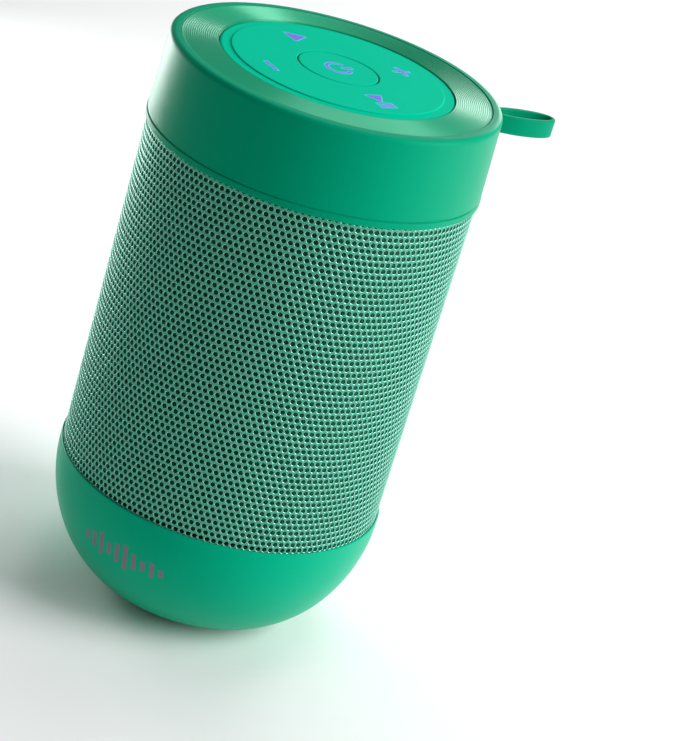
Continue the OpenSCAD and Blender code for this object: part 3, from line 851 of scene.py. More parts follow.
    def trim_ring(self) -> None:
        """Builds the trim ring with its turned grooves, whose long flanks face outwards."""
        top, inner, start = self.rim - self.rim_drop, self.pad_r + 0.15, self.trim_r - 0.2
        corners = [Corner(inner, self.shelf), Corner(self.trim_r, self.shelf), Corner(self.trim_r, top, 0.08)]
        for groove in range(self.grooves):
            outer = start - groove * self.groove_pitch
            corners += [Corner(outer, top - self.groove_depth), Corner(outer - self.flank * self.groove_pitch, top)]
        corners += [Corner(start - self.grooves * self.groove_pitch, top), Corner(inner, top, 0.06)]
        shape = turned(rounded(corners, steps=4, land=0.02), closed=True)
        publish(shape, "trim_ring_turned", "housing", TURNED_TRIM, ["trim_ring"])

    def build(self) -> None:
        """Builds the cap's pieces."""
        self.shell()
        self.eye_housing()
        self.trim_ring()


# ---- Controls ----


class Glyph(Enum):
    """Plain signs printed on the controls."""

    POWER = "power"
    PLUS = "plus"
    MINUS = "minus"
    PLAY_PAUSE = "play_pause"
    MODE = "mode"


@dataclass(frozen=True)
class Key:
    """One outer key of the pad.

    Attributes:
        node: CAD node that the key stands for.
        body: CAD body that it rides on.
        quarter: Its quarter turn round the pad.
        glyph: Sign on it.
        shift: Place of the sign from the key's middle, along the pattern's own two directions.
    """

    node: str
    body: str
    quarter: int
    glyph: Glyph
    shift: tuple[float, float]


@dataclass(frozen=True)
class Layer:
    """One layer of a sign: its printed ink, and under it the pale blue painted halo of light.

    Attributes:
        name: Its name.
        finish: Its ink, and for the halo the painted colour.
        swell: How far it spreads beyond the sign's own lines.
        drop: How far its top lies under the print's top.
    """

    name: str
    finish: Finish
    swell: float
    drop: float


# The first layer is a painted halo of light round each sign, the second the printed ink
LAYERS = (Layer("halo_layer", ICON_HALO_PAINT, 0.26, 0.008), Layer("top_print", ICON_INK, 0.0, 0.0))
KEYS = (
    Key("play_key", "play_body", 0, Glyph.PLAY_PAUSE, (0.0, -0.6)),
    Key("volume_up_key", "volume_up_body", 1, Glyph.PLUS, (0.7, -0.5)),
    Key("mode_key", "mode_body", 2, Glyph.MODE, (0.4, 0.0)),
    Key("volume_down_key", "volume_down_body", 3, Glyph.MINUS, (0.0, -0.5)),
)


@dataclass
class Controls:
    """Silicone button pad, the power button, four outer keys and their printed signs.

    Attributes:
        pad_r: Radius of the pad.
        plateau_r: Radius of its raised middle.
        step: Height of the raised middle.
        shoulder: Rounding of the pad's edge.
        power_r: Radius of the power button.
        power_gap: Gap round the power button.
        key_r: Radius of an outer key.
        key_gap: Gap round an outer key, so fine that the pad looks whole.
        ring_r: Distance of the outer keys from the axis.
        turn: Azimuth of the first key.
        flange: How far a flange stands out under the pad.
        flange_gap: Gap between the power button's flange and the pad.
        pad_t: Thickness of the pad, whose flanges lie under it.
        ledge: Height of the flanges' underside above the pad's lower face.
        stems: Radius of the power button's plunger and of a key's.
        print_t: Thickness of the signs over the pad.
        stroke: Width of the signs' lines.
        ink: Depth of the ink, most of it inside the silicone.
    """

    pad_r: float = 23.6
    plateau_r: float = 21.4
    step: float = 0.25
    shoulder: float = 0.5
    power_r: float = 8.0
    power_gap: float = 0.3
    key_r: float = 4.03
    key_gap: float = 0.012
    ring_r: float = 15.6
    turn: float = 13.5
    flange: float = 1.1
    flange_gap: float = 0.25
    pad_t: float = 2.4
    ledge: float = 0.7
    stems: tuple[float, float] = (3.0, 1.8)
    print_t: float = 0.02
    stroke: float = 0.55
    ink: float = 0.1

    def __post_init__(self) -> None:
        """Takes its heights from the frame, whose top is the top of the print."""
        pad = extent("button_pad")
        self.print_top, self.bottom = pad.top, pad.bottom
        self.top, self.web = pad.top - self.print_t, pad.top - self.pad_t
        self.plunger = extent("play_key").bottom

    def key_centre(self, quarter: int) -> Vector:
        """Middle of the outer key in a quarter of the pad."""
        angle = math.radians(self.turn + 90 * quarter)
        return Vector((math.cos(angle), math.sin(angle), 0)) * self.ring_r

    def pad(self) -> None:
        """Builds the pad: a top with five holes, a lower face and a relief for each flange."""
        inner, outer = self.power_r + self.power_gap, self.plateau_r - 0.3
        low = self.top - self.step
        edge = turned(rounded([Corner(outer, self.top), Corner(self.plateau_r, self.top, 0.2),
                               Corner(self.plateau_r, low, 0.04), Corner(self.pad_r, low, self.shoulder),
                               Corner(self.pad_r, low - self.shoulder - 0.1)]))
        middle = turned(rounded([Corner(inner, self.top - 0.5), Corner(inner, self.top, 0.14),
                                 Corner(self.power_r + self.flange + self.flange_gap, self.top)]))
        shape = joined([edge, middle])
        rims = [e for e in shape.edges if e.is_boundary and abs(e.verts[0].co.z - self.top) < 1e-4]
        for key in KEYS:
            place = self.key_centre(key.quarter) + Vector((0, 0, self.top))
            rings = []
            for radius in (self.key_r + self.key_gap, self.key_r + self.flange + 0.1):
                circle = bmesh.ops.create_circle(shape, segments=96, radius=radius)["verts"]
                bmesh.ops.translate(shape, verts=circle, vec=place)
                rings.append(list({e for v in circle for e in v.link_edges}))
            bmesh.ops.bridge_loops(shape, edges=rings[0] + rings[1])
            rims += rings[1]
        bmesh.ops.triangle_fill(shape, use_beauty=True, edges=rims, normal=(0, 0, 1))
        bmesh.ops.remove_doubles(shape, verts=shape.verts, dist=1e-4)
        self.lower(shape, list(shape.faces), self.web)
        webs = [f for f in shape.faces if abs(f.calc_center_median().z - self.web) < 1e-3 and abs(f.normal.z) > 0.5]
        self.lower(shape, [f for f in webs if not self.over_flange(f.calc_center_median())], self.bottom, True)
        bmesh.ops.recalc_face_normals(shape, faces=shape.faces)
        publish(shape, "pad_membrane", "housing", PAD_SILICONE, ["button_pad"])

    @staticmethod
    def lower(shape: bmesh.types.BMesh, faces: list[bmesh.types.BMFace], z: float, drop: bool = False) -> None:
        """Draws faces down to a flat at a height, with walls round them.

        Args:
            shape: The shape they belong to.
            faces: The faces.
            z: Height of the flat.
            drop: Whether the faces themselves go, as they would lie inside.
        """
        drawn = bmesh.ops.extrude_face_region(shape, geom=faces)["geom"]
        if drop:
            bmesh.ops.delete(shape, geom=faces, context="FACES_ONLY")
        for vert in verts_of(drawn):
            vert.co.z = z

    def over_flange(self, point: Vector) -> bool:
        """Tells where the pad's lower face lies over a flange.

        Args:
            point: A point of the face.

        Returns:
            Whether a flange is under it.
        """
        flat = Vector((point.x, point.y, 0))
        near_key = any((flat - self.key_centre(key.quarter)).length < self.key_r + self.flange + 0.1 for key in KEYS)
        return near_key or flat.length < self.power_r + self.flange + self.flange_gap

    def button(self, radius: float, stem_r: float, edge: float) -> bmesh.types.BMesh:
        """Turns a button with its flange and plunger.

        Args:
            radius: Radius of its top.
            stem_r: Radius of the plunger.
            edge: Rounding of the top's edge, or 0.

        Returns:
            The button on the axis.
        """
        ledge, shelf, flange = self.bottom + self.ledge, self.web - 0.3, radius + self.flange - 0.1
        corners = [Corner(0, self.plunger), Corner(stem_r, self.plunger, 0.2), Corner(stem_r, ledge),
                   Corner(flange, ledge), Corner(flange, shelf), Corner(radius, shelf),
                   Corner(radius, self.top, edge), Corner(0, self.top)]
        return turned(rounded(corners), steps=96 if radius < 5 else TURN_STEPS)

    def bar(self, layer: Layer, length: float, x: float, y: float, upright: bool = False) -> bmesh.types.BMesh:
        """Printed bar with rounded corners.

        Args:
            layer: Layer that it belongs to, the ink or the painted halo.
            length: Its length.
            x: Its middle along the pattern's first direction.
            y: Its middle along the second direction.
            upright: Whether it runs along the second direction.

        Returns:
            The bar under the print's top.
        """
        along, across = length + 2 * layer.swell, self.stroke + 2 * layer.swell
        size = (across, along) if upright else (along, across)
        middle = Vector((x, y, self.print_top - layer.drop - self.ink / 2))
        return solid_box(Vector((*size, self.ink)), middle, 0.2, only_upright=True)

    def triangle(self, layer: Layer, width: float, height: float, x: float, y: float,
                 turn: float) -> bmesh.types.BMesh:
        """Printed triangle with rounded corners.

        Args:
            layer: Layer that it belongs to, the ink or the painted halo.
            width: Length of its base.
            height: Height over the base.
            x: Place of its box's middle along the first direction.
            y: Place along the second direction.
            turn: Turn in degrees. At 0 it points along the second direction.

        Returns:
            The triangle under the print's top.
        """
        shape = bmesh.new()
        inradius = width * height / (width + 2 * math.hypot(width / 2, height))
        grow, centre = 1 + layer.swell / inradius, inradius - height / 2
        corners = [shape.verts.new((px * grow * width / 2, grow * (py * height / 2 - centre) + centre, 0))
                   for px, py in ((-1, -1), (1, -1), (0, 1))]
        shape.faces.new(corners)
        bmesh.ops.bevel(shape, geom=corners, offset=0.3 + layer.swell, segments=3, profile=0.5, affect="VERTICES",
                        material=-1)
        moved(shape, turn=turn)
        return moved(thickened(shape, self.ink), Vector((x, y, self.print_top - layer.drop - self.ink)))

    def cross(self, layer: Layer, length: float) -> bmesh.types.BMesh:
        """Printed cross of two lines in one piece: a middle square with an arm drawn from each side.

        Args:
            layer: Layer that it belongs to, the ink or the painted halo.
            length: Length of each line.

        Returns:
            The cross under the print's top.
        """
        shape = bmesh.new()
        half = self.stroke / 2 + layer.swell
        bmesh.ops.create_grid(shape, x_segments=1, y_segments=1, size=half)
        for side in list(shape.edges):
            outward = (side.verts[0].co + side.verts[1].co).normalized()
            arm = bmesh.ops.extrude_edge_only(shape, edges=[side])["geom"]
            bmesh.ops.translate(shape, verts=verts_of(arm), vec=outward * (length / 2 + layer.swell - half))
        tips = [v for v in shape.verts if max(abs(v.co.x), abs(v.co.y)) > half + 0.1]
        bmesh.ops.bevel(shape, geom=tips, offset=0.2, segments=3, profile=0.5, affect="VERTICES", material=-1)
        return moved(thickened(shape, self.ink), Vector((0, 0, self.print_top - layer.drop - self.ink)))

    def arc(self, layer: Layer, radius: float, gap: float) -> bmesh.types.BMesh:
        """Printed open ring.

        Args:
            layer: Layer that it belongs to, the ink or the painted halo.
            radius: Radius of the line's middle.
            gap: Opening in degrees, towards the second direction.

        Returns:
            The ring under the print's top.
        """
        shape = bmesh.new()
        half = self.stroke / 2 + layer.swell
        top = self.print_top - layer.drop
        section = [shape.verts.new((radius + r, 0, top + z))
                   for r, z in ((-half, -self.ink), (half, -self.ink), (half, 0), (-half, 0))]
        face = shape.faces.new(section)
        moved(shape, turn=90 + gap / 2)
        bmesh.ops.spin(shape, geom=[face, *face.edges, *face.verts], cent=(0, 0, 0), axis=(0, 0, 1),
                       angle=math.radians(360 - gap), steps=48)
        bmesh.ops.recalc_face_normals(shape, faces=shape.faces)
        return shape

    def sign(self, glyph: Glyph, layer: Layer) -> list[bmesh.types.BMesh]:
        """Shapes of a sign about its own middle.

        Args:
            glyph: The sign.
            layer: Layer, the ink or the painted halo.

        Returns:
            Its shapes.
        """
        makers: dict[Glyph, Callable[[], list[bmesh.types.BMesh]]] = {
            Glyph.POWER: lambda: [self.arc(layer, 2.4, 70), self.bar(layer, 2.3, 0, 2.0, True)],
            Glyph.PLUS: lambda: [self.cross(layer, 3.9)],
            Glyph.MINUS: lambda: [self.bar(layer, 4.3, 0, 0)],
            Glyph.PLAY_PAUSE: lambda: [self.triangle(layer, 3.7, 2.9, -1.45, 0, -90),
                                       self.bar(layer, 3.5, 1.05, 0, True), self.bar(layer, 3.5, 2.45, 0, True)],
            Glyph.MODE: lambda: [self.triangle(layer, 4.4, 3.9, 0, 0.4, 0)],
        }
        return makers[glyph]()

    def print_sign(self, glyph: Glyph, body: str, place: Vector) -> None:
        """Prints a sign over its painted halo of light, in two layers.

        Args:
            glyph: The sign.
            body: CAD body that it rides on.
            place: Its middle along the pattern's own directions.
        """
        for layer in LAYERS:
            publish(moved(joined(self.sign(glyph, layer)), place, self.turn), f"{glyph.value}_{layer.name}", body,
                    layer.finish)

    def build(self) -> None:
        """Builds the pad, the button, the keys and their signs."""
        self.pad()
        power_stem, key_stem = self.stems
        publish(self.button(self.power_r, power_stem, 0.16), "power_button_cap", "power_button_body", PAD_SILICONE,
                ["power_button"])
        self.print_sign(Glyph.POWER, "power_button_body", Vector())
        for key in KEYS:
            centre = self.key_centre(key.quarter)
            publish(moved(self.button(self.key_r, key_stem, 0.0), centre), f"{key.node}_cap", key.body,
                    PAD_SILICONE, [key.node])
            unturned = Matrix.Rotation(-math.radians(self.turn), 3, "Z") @ centre
            self.print_sign(key.glyph, key.body, unturned + Vector((*key.shift, 0)))


# ---- Lanyard loop and charging port ----


@dataclass
class LanyardLoop:
    """Silicone ribbon bent into a loop, with the eye that holds it on its pin.

    Attributes:
        ribbon: Thickness of the ribbon.
        root_half: Half the strap's width beside the eye.
        belly: Share of the loop's length at which it is widest.
        power: Squareness of the tip's curve.
        edge: Rounding of the ribbon's edges.
        pin_r: Radius of the pin.
        eye_wall: Thickness of the eye round the pin.
        starts: Where the ribbon's outer and inner faces begin beyond the pin.
    """

    ribbon: float = 0.95
    root_half: float = 1.3
    belly: float = 0.6
    power: float = 2.3
    edge: float = 0.28
    pin_r: float = 0.98
    eye_wall: float = 0.92
    starts: tuple[float, float] = (1.2, 2.1)

    def __post_init__(self) -> None:
        """Takes its places from the frame."""
        loop = extent("lanyard_loop")
        self.low, self.high = loop.bottom, loop.top
        self.half, self.tip = loop.high.x, loop.high.y
        self.eye = extent("lanyard_pin").middle.y
        self.widest = self.eye + self.belly * (self.tip - self.eye)

    def outline(self, inset: float, start: float) -> list[tuple[float, float]]:
        """Outline of the loop's left half and then its right half.

        Args:
            inset: How far it lies inside the ribbon's outer face.
            start: Where it begins, from the axis.

        Returns:
            Points from the left root round the tip to the right root.
        """
        side = []
        for index in range(18):
            y = start + (self.widest - start) * index / 18
            rise = (y - self.eye - 1.5) / (self.widest - self.eye - 1.5)
            swell = 0.5 - 0.5 * math.cos(math.pi * max(0.0, rise))
            side.append((self.root_half + (self.half - self.root_half) * swell - inset, y))
        for index in range(25):
            angle = math.pi / 2 * index / 24
            x = (self.half - inset) * math.cos(angle) ** (2 / self.power)
            y = self.widest + (self.tip - inset - self.widest) * math.sin(angle) ** (2 / self.power)
            side.append((max(x, 0.0), y))
        return [(-x, y) for x, y in side] + [(x, y) for x, y in reversed(side[:-1])]

    def strap(self) -> bmesh.types.BMesh:
        """Builds the ribbon between its outer and inner outlines.

        Returns:
            The ribbon.
        """
        shape = bmesh.new()
        loops = []
        for inset, start in zip((0.0, self.ribbon), self.starts):
            verts = [shape.verts.new((x, y, self.low)) for x, y in self.outline(inset, self.eye + start)]
            loops.append([shape.edges.new((a, b)) for a, b in zip(verts, verts[1:] + verts[:1])])
        bmesh.ops.bridge_loops(shape, edges=loops[0] + loops[1])
        thickened(shape, self.high - self.low)
        rims = [e for e in sharp_edges(shape) if abs(e.verts[0].co.z - e.verts[1].co.z) < 0.1]
        bmesh.ops.bevel(shape, geom=rims, offset=self.edge, segments=4, profile=0.5, affect="EDGES", material=-1)
        return shape

    def build(self) -> None:
        """Builds the loop."""
        outer = self.pin_r + self.eye_wall
        eye = turned(rounded([Corner(self.pin_r, self.low), Corner(outer, self.low, 0.2),
                              Corner(outer, self.high, 0.2), Corner(self.pin_r, self.high)]),
                     closed=True, steps=64)
        shape = joined([self.strap(), moved(eye, Vector((0, self.eye, 0)))])
        publish(shape, "strap_loop", "lanyard", STRAP_SILICONE, ["lanyard_loop"], weighted=True)


@dataclass
class ChargingPort:
    """Silicone cover that closes the charging port, with the plug on its back.

    Attributes:
        thickness: Thickness of the curved cover.
        corner: Rounding of its four corners.
        edge: Rounding of its outer edge.
        plug: Width, height and depth of the plug.
    """

    thickness: float = 1.2
    corner: float = 0.5
    edge: float = 0.2
    plug: tuple[float, float, float] = (8.0, 2.7, 1.2)

    def __post_init__(self) -> None:
        """Takes its places from the frame."""
        cover = extent("port_cover")
        self.width, self.height = 2 * cover.high.x, cover.top - cover.bottom
        self.face_r, self.back, self.middle = cover.high.y, cover.low.y, cover.middle.z

    def cover(self) -> bmesh.types.BMesh:
        """Builds the cover flat and bends it to the band.

        Returns:
            The cover.
        """
        shape = bmesh.new()
        bmesh.ops.create_grid(shape, x_segments=24, y_segments=1, size=0.5)
        bmesh.ops.scale(shape, verts=shape.verts, vec=(self.width, self.height, 1))
        corners = [v for v in shape.verts if abs(abs(v.co.x) - self.width / 2) < 0.01]
        bmesh.ops.bevel(shape, geom=corners, offset=self.corner, segments=4, profile=0.5, affect="VERTICES",
                        material=-1)
        thickened(shape, -self.thickness)
        rim = [e for e in sharp_edges(shape) if min(v.co.z for v in e.verts) > -0.01]
        bmesh.ops.bevel(shape, geom=rim, offset=self.edge, segments=3, profile=0.5, affect="EDGES", material=-1)
        for vert in shape.verts:
            angle = math.asin(vert.co.x / self.face_r)
            radius = self.face_r + vert.co.z
            vert.co = Vector((radius * math.sin(angle), radius * math.cos(angle), self.middle + vert.co.y))
        bmesh.ops.recalc_face_normals(shape, faces=shape.faces)
        return shape

    def build(self) -> None:
        """Builds the cover with its plug."""
        plug = solid_box(Vector(self.plug), Vector(), self.plug[1] / 2 - 0.01, only_upright=True)
        bmesh.ops.rotate(plug, verts=plug.verts, cent=(0, 0, 0), matrix=Matrix.Rotation(math.radians(90), 3, "X"))
        moved(plug, Vector((0, self.back + self.plug[2] / 2, self.middle)))
        publish(joined([self.cover(), plug]), "port_flap_cover", "port_flap", STRAP_SILICONE,
                ["port_cover"], weighted=True)


# ---- Sleeve ----


@dataclass
class Sleeve:
    """Perforated sleeve in panels, and the woven scrim behind it.

    Attributes:
        radius: Outer radius.
        wall: Thickness of the sheet.
        holes_round: Holes in one row round the sleeve.
        row_pitch: Height between two rows.
        hole_r: Radius of a hole.
        punch_edge: Width of the drawn-in edge of a hole.
        punch_draw: How deep that edge is drawn in.
        rows: Number of rows.
        top_row: How far the highest row lies below the top cap's lip.
        sides: Sides of a hole, a multiple of four that divides a cell evenly.
        panels: Panels that the sleeve is made in.
        cloth: Thickness of the scrim.
    """

    radius: float = 33.45
    wall: float = 0.35
    holes_round: int = 162
    row_pitch: float = 1.317
    hole_r: float = 0.52
    punch_edge: float = 0.07
    punch_draw: float = 0.05
    rows: int = 55
    top_row: float = -0.14
    sides: int = 12
    panels: int = 6
    cloth: float = 0.3

    @property
    def hole_pitch(self) -> float:
        """Spacing of the holes in a row, along the sleeve's outside."""
        return math.tau * self.radius / self.holes_round

    def cell_corners(self) -> list[Vector]:
        """Corners and side middles of a cell.

        Returns:
            Points, anticlockwise from the middle of its right-hand side.
        """
        half = self.hole_pitch / 2
        tall = (half ** 2 + self.row_pitch ** 2) / (2 * self.row_pitch)
        shoulder = self.row_pitch - tall
        corners = [Vector((half, shoulder)), Vector((0, tall)), Vector((-half, shoulder)),
                   Vector((-half, -shoulder)), Vector((0, -tall)), Vector((half, -shoulder))]
        points = []
        for index, corner in enumerate(corners):
            points += [(corners[index - 1] + corner) / 2, corner]
        return points

    def cell(self) -> bmesh.types.BMesh:
        """Builds one cell flat: its face, the hole's drawn-in edge and wall, and its back.

        Returns:
            The cell.
        """
        shape = bmesh.new()
        corners = self.cell_corners()

        def place(vert: bmesh.types.BMVert, radius: float, height: float) -> None:
            """Moves a vert.

            Args:
                vert: The vert.
                radius: Radius that it is moved out to, or 0 for the cell's outline.
                height: Height that it gets.
            """
            angle = math.atan2(vert.co.y, vert.co.x)
            side = round(angle / math.tau * self.sides) % self.sides
            vert.co = (radius * Vector((math.cos(angle), math.sin(angle))) if radius else corners[side]).to_3d()
            vert.co.z = height

        rings = []
        for radius in (0, self.hole_r + self.punch_edge):
            circle = bmesh.ops.create_circle(shape, segments=self.sides, radius=1)["verts"]
            rings.append(list({e for v in circle for e in v.link_edges}))
            for vert in circle:
                place(vert, radius, 0)
        front = bmesh.ops.bridge_loops(shape, edges=rings[0] + rings[1])["faces"]
        ring = rings[1]
        for radius, height in ((self.hole_r, -self.punch_draw), (self.hole_r, -self.wall), (0, -self.wall)):
            drawn = bmesh.ops.extrude_edge_only(shape, edges=ring)["geom"]
            verts = set(verts_of(drawn))
            ring = [item for item in drawn if isinstance(item, bmesh.types.BMEdge) and verts.issuperset(item.verts)]
            for vert in verts:
                place(vert, radius, height)
            for face in faces_of(drawn):
                # The drawn-in edges get the second finish, the pale painted highlight round each hole
                face.material_index = int(height == -self.punch_draw)
        bmesh.ops.recalc_face_normals(shape, faces=shape.faces)
        if front[0].normal.z < 0:
            bmesh.ops.reverse_faces(shape, faces=shape.faces)
        return shape

    def panel(self) -> bmesh.types.BMesh:
        """Repeats the cell up one column, bends that to the sleeve and repeats it round one panel.

        Returns:
            The panel.
        """
        shape = self.cell()
        seed = [*shape.verts, *shape.edges, *shape.faces]
        highest = extent("top_cap").bottom - self.top_row
        for row in range(self.rows):
            copied = bmesh.ops.duplicate(shape, geom=seed)["geom"]
            bmesh.ops.translate(shape, verts=verts_of(copied),
                                vec=(self.hole_pitch / 2 * (row % 2), highest - row * self.row_pitch, 0))
        bmesh.ops.delete(shape, geom=verts_of(seed), context="VERTS")
        for vert in shape.verts:
            angle, radius = vert.co.x / self.radius, self.radius + vert.co.z
            vert.co = Vector((radius * math.cos(angle), radius * math.sin(angle), vert.co.y))
        columns = self.holes_round // self.panels
        bmesh.ops.spin(shape, geom=[*shape.verts, *shape.edges, *shape.faces], cent=(0, 0, 0), axis=(0, 0, 1),
                       angle=math.tau / self.holes_round * (columns - 1), steps=columns - 1, use_duplicate=True)
        bmesh.ops.remove_doubles(shape, verts=shape.verts, dist=1e-3)
        return shape

    def scrim(self) -> None:
        """Builds the cloth tube behind the sleeve, with a map that wraps round it."""
        cloth = extent("acoustic_cloth")
        outer, inner = cloth.high.x, cloth.high.x - self.cloth
        shape = turned([Vector((outer, cloth.bottom)), Vector((outer, cloth.top)), Vector((inner, cloth.top)),
                        Vector((inner, cloth.bottom))], closed=True)
        layer = shape.loops.layers.uv.new("wrap")
        for face in shape.faces:
            middle = azimuth_of(face.calc_center_median())
            for loop in face.loops:
                off = (azimuth_of(loop.vert.co) - middle + 180) % 360 - 180
                loop[layer].uv = (math.radians(middle + off) * outer * MM, loop.vert.co.z * MM)
        piece = publish(shape, "scrim_tube", "housing", SCRIM, ["acoustic_cloth"])

    def build(self) -> None:
        """Builds the panels and the scrim."""
        first = self.panel()
        for index in range(self.panels):
            replaced = ["grille"] if index == 0 else []
            publish(moved(first.copy(), turn=index * 360 / self.panels), f"sleeve_panel_{index}", "housing",
                    SLEEVE_PAINT, replaced, extra=[PUNCH_EDGE_HIGHLIGHT], crease=30)
        first.free()
        self.scrim()


# ---- Bottom cap ----


@dataclass
class BottomCap:
    """Bowl-shaped bottom cap, its foot and a plain mark of level bars.

    Attributes:
        radius: Radius at the lip.
        flat_r: Radius of the flat underneath.
        power: Roundness of the bowl.
        straight: Height of the straight part under the lip.
        wall: Thickness of the wall.
        floor: Thickness of the floor.
        foot_r: Radius of the foot.
        foot_grooves: Radii of the foot's grooves.
        mark_azimuth: Direction that the mark faces.
        mark_drop: Height of the mark's middle below the lip.
        bar_heights: Heights of the mark's bars.
        bar_pitch: Spacing of the bars.
        bar_w: Width of a bar.
        ink: How deep the mark's ink reaches and how far it stands out.
    """

    radius: float = 33.9
    flat_r: float = 14.5
    power: float = 1.9
    straight: float = 2.0
    wall: float = 3.0
    floor: float = 3.2
    foot_r: float = 12.5
    foot_grooves: tuple[float, ...] = (4.5, 7.5, 10.5)
    mark_azimuth: float = -52.5
    mark_drop: float = 10.5
    bar_heights: tuple[float, ...] = (2.2, 3.8, 5.6, 3.0, 4.8, 6.4, 4.0, 2.4, 3.6, 1.8)
    bar_pitch: float = 2.05
    bar_w: float = 1.0
    ink: tuple[float, float] = (0.03, 0.02)

    def __post_init__(self) -> None:
        """Takes its heights from the frame."""
        cap, foot = extent("bottom_cap"), extent("foot_pad")
        self.bottom, self.lip = cap.bottom, cap.top
        self.foot_bottom, self.foot_top = foot.bottom, foot.top
        self.sleeve_bottom = extent("grille").bottom

    def curve(self, side: float, floor: float, steps: int) -> list[Vector]:
        """Curve of the bowl from its flat up to the straight part.

        Args:
            side: How far it is set in at the side.
            floor: How far it is set in at the bottom.
            steps: Number of steps.

        Returns:
            Its points.
        """
        base, top = self.bottom + floor, self.lip - self.straight
        points = []
        for step in range(steps + 1):
            z = top - (top - base) * math.cos(math.pi / 2 * step / steps)
            points.append(Vector((self.bowl_r(z, side, floor), z)))
        return points

    def bowl_r(self, z: float, side: float = 0.0, floor: float = 0.0) -> float:
        """Radius of the bowl.

        Args:
            z: Height.
            side: How far it is set in at the side.
            floor: How far it is set in at the bottom.

        Returns:
            The radius at that height.
        """
        base, top = self.bottom + floor, self.lip - self.straight
        flat = self.flat_r - side / 2
        share = max(0.0, 1 - max(0.0, (top - z) / (top - base)) ** self.power)
        return flat + (self.radius - side - flat) * share ** (1 / self.power)

    def bowl(self) -> None:
        """Builds the bowl with its rounded lip and the sleeve's groove."""
        recess = self.foot_r + 0.2
        groove_in, groove_out = SLEEVE_GROOVE
        groove_z = self.sleeve_bottom - 0.1
        profile = [
            *rounded([Corner(0, self.foot_top), Corner(recess, self.foot_top), Corner(recess, self.bottom, 0.1),
                      Corner(self.flat_r - 0.3, self.bottom)]),
            *self.curve(0, 0, 48),
            *rounded([Corner(self.radius, self.lip - 1.5), Corner(self.radius, self.lip, 0.3),
                      Corner(groove_out, self.lip, 0.05), Corner(groove_out, groove_z),
                      Corner(groove_in, groove_z), Corner(groove_in, self.lip),
                      Corner(self.radius - self.wall, self.lip)]),
            *reversed(self.curve(self.wall, self.floor, 24)),
            Vector((0, self.bottom + self.floor)),
        ]
        # The bowl's green is lighter than the cap's, painted light
        publish(turned(profile), "bowl_shell", "housing", BOWL_ABS_WITH_PAINTED_LIGHT, ["bottom_cap"])

    def foot(self) -> None:
        """Builds the rubber foot with its rounded edge and its grooves."""
        low = self.foot_bottom
        groove = ((-0.4, 0.0, 0.08), (-0.3, 0.3, 0.05), (0.3, 0.3, 0.05), (0.4, 0.0, 0.08))
        corners = [Corner(0, low)]
        for radius in self.foot_grooves:
            corners += [Corner(radius + side, low + rise, fillet) for side, rise, fillet in groove]
        corners += [Corner(self.foot_r, low, 0.35), Corner(self.foot_r, self.foot_top), Corner(0, self.foot_top)]
        shape = turned(rounded(corners, steps=4, land=0.02))
        publish(shape, "foot_ring", "housing", FOOT_RUBBER, ["foot_pad"])

    def mark(self) -> None:
        """Builds the printed mark: bars that stand on the bowl's curve like a level meter."""
        bars = []
        middle = (len(self.bar_heights) - 1) / 2
        deep, proud = self.ink
        for index, height in enumerate(self.bar_heights):
            bar = bmesh.new()
            bmesh.ops.create_grid(bar, x_segments=2, y_segments=8, size=0.5)
            bmesh.ops.scale(bar, verts=bar.verts, vec=(self.bar_w, height, 1))
            bars.append(thickened(moved(bar, Vector(((index - middle) * self.bar_pitch, 0, -deep))), deep + proud))
        shape = joined(bars)
        for vert in shape.verts:
            z = self.lip - self.mark_drop + vert.co.y
            radius = self.bowl_r(z) + vert.co.z
            angle = math.radians(self.mark_azimuth) + vert.co.x / radius
            vert.co = Vector((radius * math.cos(angle), radius * math.sin(angle), z))
        bmesh.ops.recalc_face_normals(shape, faces=shape.faces)
        publish(shape, "level_mark", "housing", MARK_INK)

    def build(self) -> None:
        """Builds the bottom cap's pieces."""
        self.bowl()
        self.foot()
        self.mark()


# ---- Driver suspension and carried CAD nodes ----


